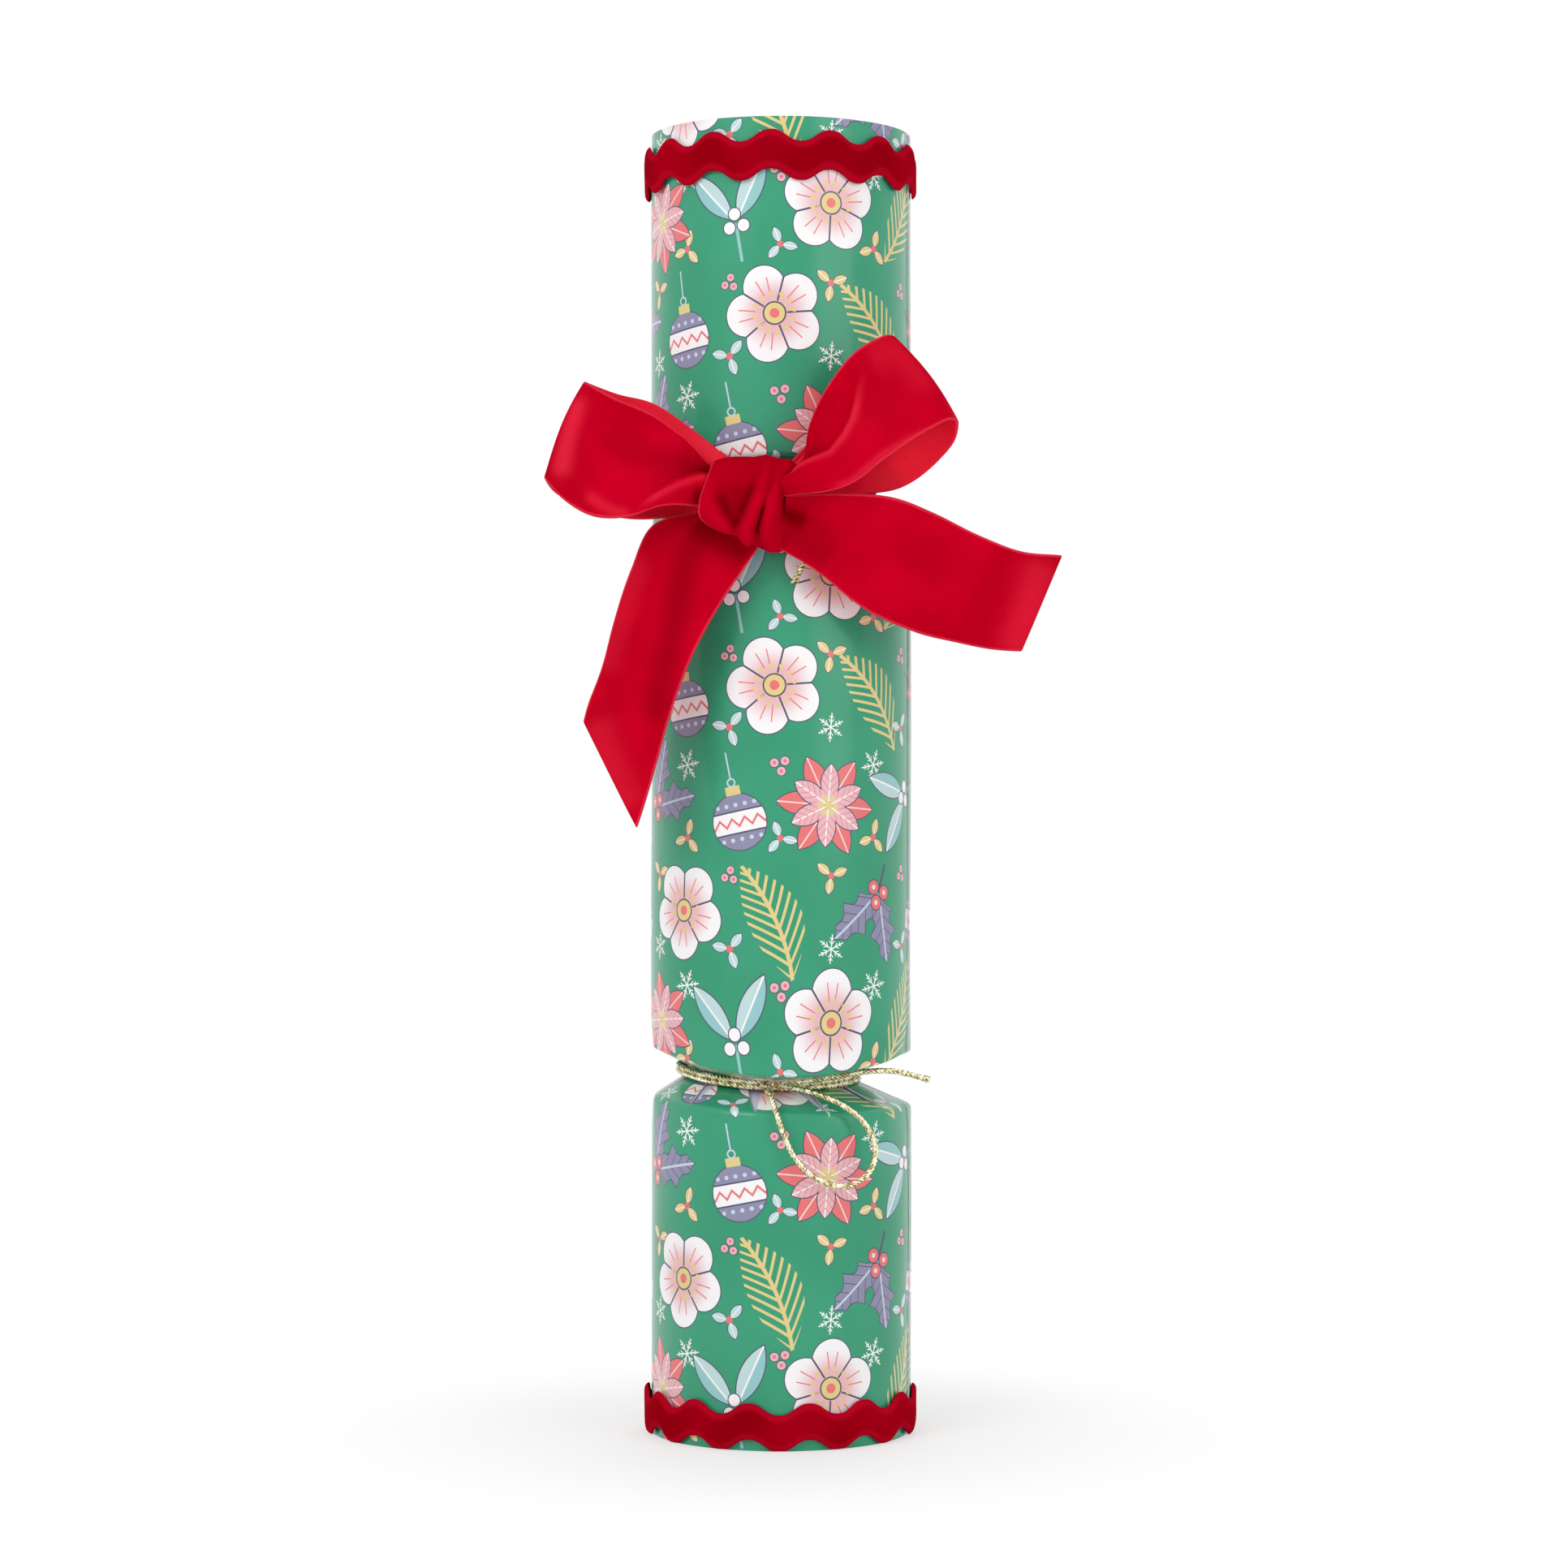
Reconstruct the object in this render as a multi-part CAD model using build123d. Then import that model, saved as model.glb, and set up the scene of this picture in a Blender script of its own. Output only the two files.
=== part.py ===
from build123d import *
import os
from math import cos, degrees, pi, radians, sin, sqrt, tan

# A Christmas cracker standing on one end, in millimetres: +Z runs up the tube and the bow faces -Y.
# The origin is the centre of the lower rim, on the tube's axis.

# Printed card wrap, torn in three when the cracker is pulled
tube_diameter = 63.5
wrap_thickness = 0.4
end_length = 81.0
barrel_length = 134.2
lap_width = 11.0
lap_thickness = 0.3
lap_edge_angle = -10.0

# Chokes: a ring of card flaps folded in towards the neck, with slit notches between them
neck_diameter = 36.0
neck_offset = -2.9
end_flap_rise = 5.8
barrel_flap_rise = 5.4
notch_count = 11
notch_width = 3.4
notch_tip_margin = 0.8
notch_angle = -68.2

# Stiff card liners inside the wrap
liner_thickness = 0.7
end_liner_setback = 5.0
barrel_liner_setback = 0.4

# Wavy velvet trim around both rims
trim_waves = 14
trim_wave_height = 2.8
trim_thickness = 1.4
trim_glue_gap = 0.1
lower_trim_height = 8.5
lower_trim_inset = 5.7
lower_trim_peak_angle = -77.6
upper_trim_height = 9.2
upper_trim_inset = 9.3
upper_trim_peak_angle = -94.0

# Metallic cord tied around each neck
cord_diameter = 1.3
cord_clearance = 0.06
turn_spacing = 1.2
tie_knot_diameter = 3.2
tie_knot_angle = -90.0
cord_arc_share = 0.45

# Velvet ribbon bow over the upper choke
ribbon_width = 25.0
ribbon_thickness = 1.2
ribbon_clearance = 0.5
bow_unit = 1.0
bow_knot_width = 20.0
bow_knot_depth = 11.5
bow_knot_height = 21.0
bow_knot_round = 4.0
bow_knot_x = -7.6
bow_knot_drop = 6.3
band_depth = 3.8
band_clearance = 0.4
tongue_width = 13.0
tongue_height = 4.2
tongue_bite = 1.2

# Snap: two card strips that lie face to face inside a paper sleeve
snap_width = 8.0
snap_thickness = 0.3
snap_overlap = 44.0
snap_bend_radius = 2.0
snap_bend_share = 1 / 3
snap_tail = 22.0
snap_clearance = 0.05
patch_thickness = 0.1
patch_length = 14.0
patch_inset = 2.0
sleeve_thickness = 0.2
sleeve_clearance = 0.15
sleeve_length = 60.0

# What falls out of the barrel
content_clearance = 0.3
crown_length = 92.0
crown_diameter = 34.0
crown_sheet = 0.8
crown_pitch = 1.3
crown_turns = 3
crown_angle = -90.0
crown_band_height = 2.0
crown_band_thickness = 0.9
joke_width = 35.0
joke_length = 80.0
joke_thickness = 0.25
joke_angle = 100.0
top_diameter = 38.0
top_rim_height = 4.0
top_cone_height = 11.0
top_dome_height = 7.0
top_collar_diameter = 9.0
top_angle = -90.0
peg_diameter = 4.0
peg_clearance = 0.02
peg_tip_length = 5.0
peg_tip_radius = 0.4
peg_grip_length = 11.0
peg_knob_diameter = 6.0

# Levels and radii worked out from the sizes above
tube_radius = tube_diameter / 2
wrap_inner_radius = tube_radius - wrap_thickness
neck_radius = neck_diameter / 2
flap_run = tube_radius - neck_radius
lower_neck = end_length + end_flap_rise
barrel_bottom = lower_neck + barrel_flap_rise
barrel_top = barrel_bottom + barrel_length
upper_neck = barrel_top + barrel_flap_rise
total_length = upper_neck + end_flap_rise + end_length
middle = total_length / 2
snap_sagitta = wrap_inner_radius - sqrt(wrap_inner_radius**2 - (snap_width / 2) ** 2)
snap_pocket = snap_sagitta + snap_thickness + 2 * snap_clearance
liner_outer_radius = wrap_inner_radius - snap_pocket
liner_inner_radius = liner_outer_radius - liner_thickness

# Ribbon stations, in bow units from the tube's front at the level of the upper neck: the centre's x, y and z,
# the lean of the ribbon's width in the front view, its tilt to the front, and its share of the full width
left_loop_stations = [
    (-15, -9, 1, 69, 9, 0.25),
    (-25, -12, 2.5, 72, 8, 0.6),
    (-33.5, -13, 3, 78, 4, 1.03),
    (-42, -12, 5, 79, 4, 1.12),
    (-48, -9, 8.5, 73, 4, 1.09),
    (-51, -5, 11.5, 67, 2, 1.0),
    (-49.5, 0, 10, 71, 2, 1.09),
    (-43, 2, 6.5, 74, 2, 1.12),
    (-33.5, 2.5, 3.5, 77, 3, 1.03),
    (-24.5, 0.5, 0.5, 75, 7, 0.78),
    (-15, -3.5, -2.5, 70, 13, 0.5),
]
right_loop_stations = [
    (0.5, -8.5, 0.2, 96, 14, 0.28),
    (12, -13, 5, 117, 7, 0.71),
    (19, -15, 12, 122, 3, 0.87),
    (26, -14, 19, 126, 2, 0.98),
    (32.5, -11.5, 23, 127, 0, 1.0),
    (34.5, -8, 23, 127, -2, 1.0),
    (33.5, -4.5, 20.5, 125, -3, 1.12),
    (30, -2.5, 17, 123, -4, 1.18),
    (22.5, -1.5, 10, 117, 0, 1.09),
    (13.5, -2.5, 4.5, 111, 6, 0.74),
    (1, -4.5, -2, 92, 20, 0.37),
]
left_tail_stations = [
    (-11.5, -7, -12, 147, 4, 0.55),
    (-20.5, -5.5, -20, 137, 6, 0.83),
    (-27.5, -4.5, -30.5, 133, 9, 0.97),
    (-31.5, -4, -41, 139, 13, 0.89),
    (-34.5, -3.5, -50.5, 139, 16, 0.87),
    (-40.5, -3, -70.5, 117, 14, 1.18),
]
right_tail_stations = [
    (0, -9, -10.5, 77, -4, 0.46),
    (12, -10, -13.5, 73, -9, 0.79),
    (23, -8.5, -18, 76, -8, 1.09),
    (34, -6.5, -22.5, 81, -8, 1.15),
    (45, -4, -26.5, 77, -7, 1.04),
    (54, -2.5, -29.5, 72, -5, 0.98),
    (62, -1.5, -30.5, 67, 0, 0.98),
]

# Cord routes, measured from the tube's front at the level of the cord's own neck
lower_loop_route = [
    (-2.7, 8.9, -0.2),
    (-2.3, 3.4, -1.4),
    (-1, -2, -5.8),
    (1, -2.6, -12),
    (4, -2.4, -17.8),
    (8.5, -2, -21.8),
    (14, -1.2, -23.8),
    (19, -0.2, -22.7),
    (22.4, 1.2, -19),
    (23, 2.4, -14),
    (20.6, 2.6, -9),
    (16.5, 1.6, -5.2),
    (11, 2, -2.4),
    (4.5, 5.6, -0.6),
    (-2, 8.9, 0.3),
]
lower_tail_route = [
    (-2.2, 8.6, 0.3),
    (5.4, 8, 0.8),
    (12.6, 10.1, 1.7),
    (19, 12.5, 2.7),
    (24.5, 13.6, 3.1),
    (30, 14, 2.6),
    (36, 14, 0.8),
]
upper_tail_route = [
    (-2.4, 8.8, -0.2),
    (3.4, 5.4, -0.4),
    (7, -0.8, -2.6),
    (8.2, -3.6, -9.4),
    (7.4, -3.4, -15.8),
    (5.4, -2.8, -20.6),
    (3.2, -2.4, -25),
]

UPRIGHT = (Align.CENTER, Align.CENTER, Align.MIN)


def disc(radius, low, high, x=0.0):
    """Upright cylinder between two levels."""
    return Pos(x, 0, low) * Cylinder(radius, high - low, align=UPRIGHT)


def wall(outer, inner, low, high):
    """Upright tube between two levels."""
    return disc(outer, low, high) - disc(inner, low, high)


def arc_wall(outer, inner, low, high, start, span):
    """Part of an upright tube, from a start angle over a span in degrees."""
    section = Plane.XZ * Pos((outer + inner) / 2, (low + high) / 2) * Rectangle(outer - inner, high - low)
    return Rot(0, 0, start) * revolve(section, Axis.Z, span)


def cone(low_radius, low_x, low, high_radius, high_x, high):
    """Solid between two level circles, the upper or lower one off the axis."""
    low_circle = Pos(low_x, 0, low) * Circle(low_radius)
    high_circle = Pos(high_x, 0, high) * Circle(high_radius)
    return loft([low_circle, high_circle], ruled=True)


def notches():
    """Diamond cuts between the flaps, pointing at the two folds."""
    cuts = []
    for index in range(notch_count):
        angle = radians(notch_angle + index * 360 / notch_count)
        outward = Vector(cos(angle), sin(angle), 0)
        sideways = Vector(-sin(angle), cos(angle), 0)
        start = neck_radius / 2
        face = Plane(origin=outward * start, x_dir=sideways, z_dir=outward)
        diamond = Polyline(
            (0, end_length + notch_tip_margin),
            (notch_width / 2, lower_neck),
            (0, barrel_bottom - notch_tip_margin),
            (-notch_width / 2, lower_neck),
            close=True,
        )
        cuts.append(extrude(face * make_face(diamond), tube_radius))
    return cuts


def end_wrap():
    """Lower end of the wrap: its tube, its ring of flaps and the lap along its seam."""
    end_drop = wrap_thickness * sqrt(1 + (end_flap_rise / flap_run) ** 2)
    barrel_lift = wrap_thickness * sqrt(1 + (barrel_flap_rise / flap_run) ** 2)
    outside = disc(tube_radius, 0, end_length)
    outside += cone(tube_radius, 0, end_length, neck_radius, neck_offset, lower_neck)
    outside += cone(neck_radius, neck_offset, lower_neck, tube_radius, 0, barrel_bottom)
    fold = end_length - end_drop
    inside = disc(tube_radius, 0, fold)
    inside += cone(tube_radius, 0, fold, neck_radius, neck_offset, lower_neck - end_drop)
    inside &= disc(wrap_inner_radius, 0, lower_neck)
    upper_inside = cone(
        neck_radius, neck_offset, lower_neck + barrel_lift, tube_radius, 0, barrel_bottom + barrel_lift
    )
    throat = disc(neck_radius - wrap_thickness, fold, barrel_bottom, neck_offset)
    shell = outside - inside - upper_inside - throat
    for cut in notches():
        shell -= cut
    lap_span = degrees(lap_width / tube_radius)
    lap = arc_wall(
        tube_radius + lap_thickness, tube_radius - wrap_thickness / 2, 0, end_length, lap_edge_angle, lap_span
    )
    return shell + lap


def barrel_wrap():
    """Middle of the wrap, between the two tear lines."""
    lap_span = degrees(lap_width / tube_radius)
    lap = arc_wall(
        tube_radius + lap_thickness,
        tube_radius - wrap_thickness / 2,
        barrel_bottom,
        barrel_top,
        lap_edge_angle,
        lap_span,
    )
    return wall(tube_radius, wrap_inner_radius, barrel_bottom, barrel_top) + lap


def rickrack(centre_level, band_height, peak_angle):
    """Wavy velvet band: one wave, bounded by tangent arcs, copied around the tube."""
    inner = tube_radius + lap_thickness + trim_glue_gap
    outer = inner + trim_thickness
    pitch = 360 / trim_waves
    wave_length = radians(pitch) * (inner + outer) / 2
    rise = trim_wave_height / 2
    half = band_height / 2
    wave_steps = [(-3, 0), (-2, -1), (-1, 0), (0, 1), (1, 0), (2, -1), (3, 0)]

    def edge(level):
        points = [(step * wave_length / 4, level + bend * rise) for step, bend in wave_steps]
        return [ThreePointArc(*points[i : i + 3]) for i in (0, 2, 4)]

    top = edge(half)
    bottom = edge(-half)
    sides = [Line(top[0] @ 0, bottom[0] @ 0), Line(top[-1] @ 1, bottom[-1] @ 1)]
    face = Plane(origin=(0, 0, 0), x_dir=(0, 1, 0), z_dir=(1, 0, 0)) * make_face(top + bottom + sides)
    reach = half + rise
    sector = arc_wall(outer, inner, -reach, reach, -pitch / 2, pitch)
    wave = extrude(face, outer) & sector
    band = wave
    for index in range(1, trim_waves):
        band += Rot(0, 0, index * pitch) * wave
    return Pos(0, 0, centre_level) * Rot(0, 0, peak_angle) * band


# Cord turns seat where the shallowest side of the V groove is just wide enough for two of them,
# and a third nests between those two
shallow_run = flap_run + abs(neck_offset)
shallow_slope = min(barrel_flap_rise, end_flap_rise) / shallow_run
turn_room = (cord_diameter / 2 + cord_clearance) * sqrt(1 + shallow_slope**2)
turn_radius = neck_radius + (turn_spacing / 2 + turn_room) / shallow_slope
inner_turn_radius = turn_radius - turn_spacing * sqrt(3) / 2
tie_outer_radius = turn_radius + cord_diameter / 2


def choke_tie(level):
    """Three turns of cord around a neck, with their knot."""
    turns = [
        (inner_turn_radius, 0),
        (turn_radius, turn_spacing / 2),
        (turn_radius, -turn_spacing / 2),
    ]
    knot_x = tie_outer_radius * cos(radians(tie_knot_angle))
    knot_y = tie_outer_radius * sin(radians(tie_knot_angle))
    tie = Pos(knot_x, knot_y, 0) * Sphere(tie_knot_diameter / 2)
    for radius, height in turns:
        tie += Pos(0, 0, height) * Torus(radius, cord_diameter / 2)
    return Pos(neck_offset, 0, level) * tie


def cord(name, route, level):
    """Free cord: straight runs joined by the largest tangent arcs that they leave room for."""
    points = [Vector(x, y - tube_radius, z + level) for x, y, z in route]
    radii = []
    for before, here, after in zip(points, points[1:], points[2:]):
        turn = radians((here - before).get_angle(after - here))
        shorter = min((here - before).length, (after - here).length)
        radii.append(cord_arc_share * shorter / tan(turn / 2))
    path = FilletPolyline(*points, radius=radii)
    section = Plane(origin=path @ 0, z_dir=path % 0) * Circle(cord_diameter / 2)
    tube = sweep(section, path)
    fullness = tube.volume / (path.length * pi * cord_diameter**2 / 4)
    print(f"{name}: length {path.length:.1f}, smallest bend {min(radii):.1f}, volume share {fullness:.4f}")
    return tube


def ribbon(stations):
    """Velvet ribbon lofted through thin rectangles at its stations."""
    anchor = Vector(0, -tube_radius, upper_neck)
    centres = [anchor + bow_unit * Vector(x, y, z) for x, y, z, lean, tilt, share in stations]
    sections = []
    for index, (x, y, z, lean, tilt, share) in enumerate(stations):
        ahead = centres[min(index + 1, len(centres) - 1)]
        behind = centres[max(index - 1, 0)]
        flat = cos(radians(tilt))
        across = Vector(flat * cos(radians(lean)), sin(radians(tilt)), flat * sin(radians(lean)))
        outward = across.cross(ahead - behind).normalized()
        along = outward.cross(across)
        plane = Plane(origin=centres[index], x_dir=across, z_dir=along)
        sections.append(plane * Rectangle(ribbon_width * share, ribbon_thickness))
    return loft(sections, ruled=True)


def bow_knot():
    """Knot of the bow, with the tongue that reaches into the groove to the neck band."""
    back = -tube_radius - ribbon_clearance
    block = Pos(bow_knot_x, back - bow_knot_depth / 2, upper_neck - bow_knot_drop)
    block *= Box(bow_knot_width, bow_knot_depth, bow_knot_height)
    block = fillet(block.edges(), bow_knot_round)
    tongue_end = -(band_outer_radius - tongue_bite)
    tongue_start = back - bow_knot_depth / 2
    tongue = Pos(bow_knot_x, (tongue_start + tongue_end) / 2, upper_neck)
    tongue *= Box(tongue_width, tongue_end - tongue_start, tongue_height)
    return block + tongue


band_inner_radius = tie_outer_radius + band_clearance
band_outer_radius = band_inner_radius + band_depth


def bow_neck_band():
    """Ribbon bunched into the upper groove, over the cord."""
    slack = band_clearance * sqrt(1 + shallow_slope**2)
    inner_half = (band_inner_radius - neck_radius) * shallow_slope - slack
    outer_half = (band_outer_radius - neck_radius) * shallow_slope - slack
    section = Polyline(
        (band_inner_radius, -inner_half),
        (band_outer_radius, -outer_half),
        (band_outer_radius, outer_half),
        (band_inner_radius, inner_half),
        close=True,
    )
    return Pos(neck_offset, 0, upper_neck) * revolve(Plane.XZ * make_face(section), Axis.Z)


# The snap runs along the back of the necks, clear of the narrower side of the throat
throat_radius = neck_radius - wrap_thickness
throat_reach = snap_width / 2 + abs(neck_offset)
strip_gap = 2 * patch_thickness + snap_clearance
snap_line = sqrt(throat_radius**2 - throat_reach**2) - content_clearance - snap_thickness / 2
pocket_line = liner_outer_radius + snap_clearance + snap_thickness / 2
snap_end = middle + snap_overlap / 2


def snap_strip(line):
    """Lower card strip, from its glued tail behind the liner to its free end past the middle."""
    bend_level = lower_neck - end_flap_rise * snap_bend_share
    wall_level = end_length - end_liner_setback / 2
    path = FilletPolyline(
        (pocket_line, wall_level - snap_tail),
        (pocket_line, wall_level),
        (line, bend_level),
        (line, snap_end),
        radius=snap_bend_radius,
    )
    side = Plane.YZ * trace(path, snap_thickness)
    return extrude(side, snap_width / 2, both=True)


def friction_patch(line):
    """Dab of friction compound on the lower strip, facing the other strip."""
    face = line - snap_thickness / 2
    top = snap_end - patch_inset
    patch = Box(snap_width - 2 * patch_inset, patch_thickness, patch_length)
    return Pos(0, face - patch_thickness / 2, top - patch_length / 2) * patch


def flipped(shape):
    """The same piece at the other end of the cracker."""
    return mirror(shape, Plane.XY.offset(middle))


def snap_sleeve():
    """Paper sleeve around both strips where they overlap."""
    depth = 2 * snap_thickness + strip_gap
    centre = snap_line - (snap_thickness + strip_gap) / 2
    room = 2 * sleeve_clearance
    paper = 2 * sleeve_thickness
    outer = Box(snap_width + room + paper, depth + room + paper, sleeve_length)
    inner = Box(snap_width + room, depth + room, sleeve_length)
    return Pos(0, centre, middle) * (outer - inner)


content_floor = barrel_bottom + content_clearance


def seat_at(angle, radius):
    """Point on the floor beside the liner's wall for a round piece of a given radius."""
    reach = liner_inner_radius - content_clearance - radius
    return Vector(reach * cos(radians(angle)), reach * sin(radians(angle)), content_floor)


def paper_crown():
    """Tissue crown, rolled up: a spiral of half turns about two centres in turn."""
    arcs = []
    radius = (crown_diameter - crown_sheet) / 2
    centre = 0.0
    for half in range(2 * crown_turns):
        start = 180 * (half % 2)
        arcs.append(CenterArc((centre, 0), radius, start, 180))
        step = crown_pitch / 2
        centre += step if half % 2 else -step
        radius -= step
    return extrude(trace(arcs, crown_sheet), crown_length)


def crown_band():
    """Band that keeps the crown rolled."""
    inner = crown_diameter / 2
    level = (crown_length - crown_band_height) / 2
    return wall(inner + crown_band_thickness, inner, level, level + crown_band_height)


def joke_slip():
    """Slip of paper curled against the liner."""
    outer = liner_inner_radius - content_clearance
    span = degrees(joke_width / outer)
    inner = outer - joke_thickness
    return arc_wall(outer, inner, content_floor, content_floor + joke_length, joke_angle, span)


def top_body():
    """Turned body of the spinning top, drilled for its peg."""
    bore = peg_diameter / 2 + peg_clearance
    rim = top_diameter / 2
    collar = top_collar_diameter / 2
    rim_low = peg_tip_length + top_cone_height
    rim_high = rim_low + top_rim_height
    crest = rim_high + top_dome_height
    outline = [
        Line((bore, peg_tip_length), (collar, peg_tip_length)),
        Line((collar, peg_tip_length), (rim, rim_low)),
        Line((rim, rim_low), (rim, rim_high)),
        RadiusArc((rim, rim_high), (collar, crest), -top_diameter),
        Line((collar, crest), (bore, crest)),
        Line((bore, crest), (bore, peg_tip_length)),
    ]
    return revolve(Plane.XZ * make_face(outline), Axis.Z)


def top_peg():
    """Peg of the spinning top: its point below, its grip and knob above."""
    radius = peg_diameter / 2
    body_top = peg_tip_length + top_cone_height + top_rim_height + top_dome_height
    high = body_top + peg_grip_length
    point = Cone(peg_tip_radius, radius, peg_tip_length, align=UPRIGHT)
    stem = disc(radius, peg_tip_length, high)
    return point + stem + Pos(0, 0, high) * Sphere(peg_knob_diameter / 2)


def top_seat():
    """Level at which the top's cone rests on the edge of the lower throat."""
    spot = seat_at(top_angle, top_diameter / 2)
    off_centre = Vector(spot.X - neck_offset, spot.Y, 0).length
    narrowing = (top_diameter - top_collar_diameter) / 2 / top_cone_height
    rim_above_throat = (top_diameter / 2 + off_centre - throat_radius) / narrowing
    rim_low = lower_neck + wrap_thickness + rim_above_throat + content_clearance
    return Vector(spot.X, spot.Y, rim_low - top_cone_height - peg_tip_length)


def main():
    lower_wrap = end_wrap()
    lower_liner = wall(liner_outer_radius, liner_inner_radius, 0, end_length - end_liner_setback)
    liner_bottom = barrel_bottom + barrel_liner_setback
    liner_top = barrel_top - barrel_liner_setback
    barrel_liner = wall(liner_outer_radius, liner_inner_radius, liner_bottom, liner_top)
    upper_line = snap_line - snap_thickness - strip_gap
    top_place = top_seat()
    top_crest = top_place.Z + peg_tip_length + top_cone_height + top_rim_height + top_dome_height
    crown_spot = seat_at(crown_angle, crown_diameter / 2 + crown_band_thickness)
    crown_place = Pos(crown_spot.X, crown_spot.Y, top_crest + content_clearance)
    upper_patch = mirror(friction_patch(snap_line), Plane.XZ.offset(-(snap_line + upper_line) / 2))
    nodes = {
        "barrel_wrap": barrel_wrap(),
        "barrel_liner": barrel_liner,
        "lower_end_wrap": lower_wrap,
        "lower_end_liner": lower_liner,
        "lower_rickrack": rickrack(lower_trim_inset, lower_trim_height, lower_trim_peak_angle),
        "lower_choke_tie": choke_tie(lower_neck),
        "lower_tie_loop": cord("lower_tie_loop", lower_loop_route, lower_neck),
        "lower_tie_tail": cord("lower_tie_tail", lower_tail_route, lower_neck),
        "snap_lower_strip": snap_strip(snap_line),
        "snap_lower_patch": friction_patch(snap_line),
        "upper_end_wrap": flipped(lower_wrap),
        "upper_end_liner": flipped(lower_liner),
        "upper_rickrack": rickrack(total_length - upper_trim_inset, upper_trim_height, upper_trim_peak_angle),
        "upper_choke_tie": choke_tie(upper_neck),
        "upper_tie_tail": cord("upper_tie_tail", upper_tail_route, upper_neck),
        "bow_neck_band": bow_neck_band(),
        "bow_knot": bow_knot(),
        "bow_left_loop": ribbon(left_loop_stations),
        "bow_right_loop": ribbon(right_loop_stations),
        "bow_left_tail": ribbon(left_tail_stations),
        "bow_right_tail": ribbon(right_tail_stations),
        "snap_upper_strip": flipped(snap_strip(upper_line)),
        "snap_upper_patch": flipped(upper_patch),
        "snap_sleeve": snap_sleeve(),
        "paper_crown": crown_place * paper_crown(),
        "crown_band": crown_place * crown_band(),
        "joke_slip": joke_slip(),
        "spinning_top_body": Pos(top_place) * top_body(),
        "spinning_top_peg": Pos(top_place) * top_peg(),
    }
    os.makedirs("parts", exist_ok=True)
    for name, shape in nodes.items():
        export_step(shape, f"parts/{name}.step")
    print(f"snap line {snap_line:.2f}, liner bore radius {liner_inner_radius:.3f}, length {total_length:.1f}")


main()
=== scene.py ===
# %% [markdown]
# # A Christmas cracker, dressed in Blender
# The solids arrive as a fixed frame: every piece made here goes where the solids already are, in metres.
# Each step first says what the real piece is, then how it could be made, and then makes it.

# %% Load the frame
from math import atan2, ceil, cos, exp, hypot, pi, radians, sin, sqrt

import bpy
import numpy as np
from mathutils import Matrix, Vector


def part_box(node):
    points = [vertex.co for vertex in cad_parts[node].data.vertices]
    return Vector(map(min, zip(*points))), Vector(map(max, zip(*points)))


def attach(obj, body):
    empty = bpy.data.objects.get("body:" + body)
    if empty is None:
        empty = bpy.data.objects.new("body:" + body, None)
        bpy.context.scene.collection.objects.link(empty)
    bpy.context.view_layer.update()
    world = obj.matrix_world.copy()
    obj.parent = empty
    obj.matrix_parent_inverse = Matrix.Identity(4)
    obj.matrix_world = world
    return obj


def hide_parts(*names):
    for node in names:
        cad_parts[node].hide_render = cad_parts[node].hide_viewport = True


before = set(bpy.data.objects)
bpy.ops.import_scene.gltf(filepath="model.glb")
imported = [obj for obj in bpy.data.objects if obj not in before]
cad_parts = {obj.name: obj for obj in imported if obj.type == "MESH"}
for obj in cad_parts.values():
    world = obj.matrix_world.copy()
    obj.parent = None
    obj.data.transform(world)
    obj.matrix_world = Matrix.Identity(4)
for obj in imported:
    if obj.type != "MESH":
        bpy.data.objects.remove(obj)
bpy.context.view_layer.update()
bpy.ops.object.select_all(action="DESELECT")

# %% [markdown]
# ## Sizes that the frame gives
# The tube's radius, its levels and the necks are read from the solids' boxes, so nothing here is fitted by
# eye. Two sizes that no box shows, the rise of the folded flaps and the neck's radius, are written out.

# %% Read the levels
MM = 0.001
barrel_low, barrel_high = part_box("barrel_wrap")
tube_radius = -barrel_low.x
barrel_bottom = barrel_low.z
barrel_top = barrel_high.z
cracker_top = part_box("upper_end_wrap")[1].z
lower_tie_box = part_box("lower_choke_tie")
upper_tie_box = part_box("upper_choke_tie")
lower_neck = (lower_tie_box[0].z + lower_tie_box[1].z) / 2
upper_neck = (upper_tie_box[0].z + upper_tie_box[1].z) / 2
neck_x = (lower_tie_box[0].x + lower_tie_box[1].x) / 2
neck_radius = 18 * MM
end_flap_rise = 5.8 * MM
lower_fold = lower_neck - end_flap_rise
upper_fold = upper_neck + end_flap_rise
print("tube radius", round(tube_radius, 5), "necks at", round(lower_neck, 4), round(upper_neck, 4))

# %% [markdown]
# ## The camera
# A product picture is taken from a little distance with a long lens, level with the middle of the object.
# The focal length is kept in pixels of the square picture, because that is what was measured on it.

# %% Camera
PICTURE_SIDE = 1932
FOCAL_PIXELS = 4743
SENSOR = 36.0
camera_place = Vector((0.9, -950, 159.2)) * MM

camera_data = bpy.data.cameras.new("camera")
camera_data.sensor_width = SENSOR
camera_data.lens = SENSOR * FOCAL_PIXELS / PICTURE_SIDE
camera_data.clip_start = 0.01
camera_data.clip_end = 20
camera = bpy.data.objects.new("camera", camera_data)
camera.location = camera_place
camera.rotation_euler = (pi / 2, 0, 0)
bpy.context.scene.collection.objects.link(camera)
bpy.context.scene.camera = camera
bpy.context.scene.view_settings.view_transform = "Standard"
print("lens", round(camera_data.lens, 2), "mm")

# %% [markdown]
# ## Maths on wires
# A shader is a graph, but its maths reads better as an expression. `Wire` holds one output socket, and its
# operators add Math nodes. Every other node comes from its `node` method: settings first, then inputs.

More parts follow.
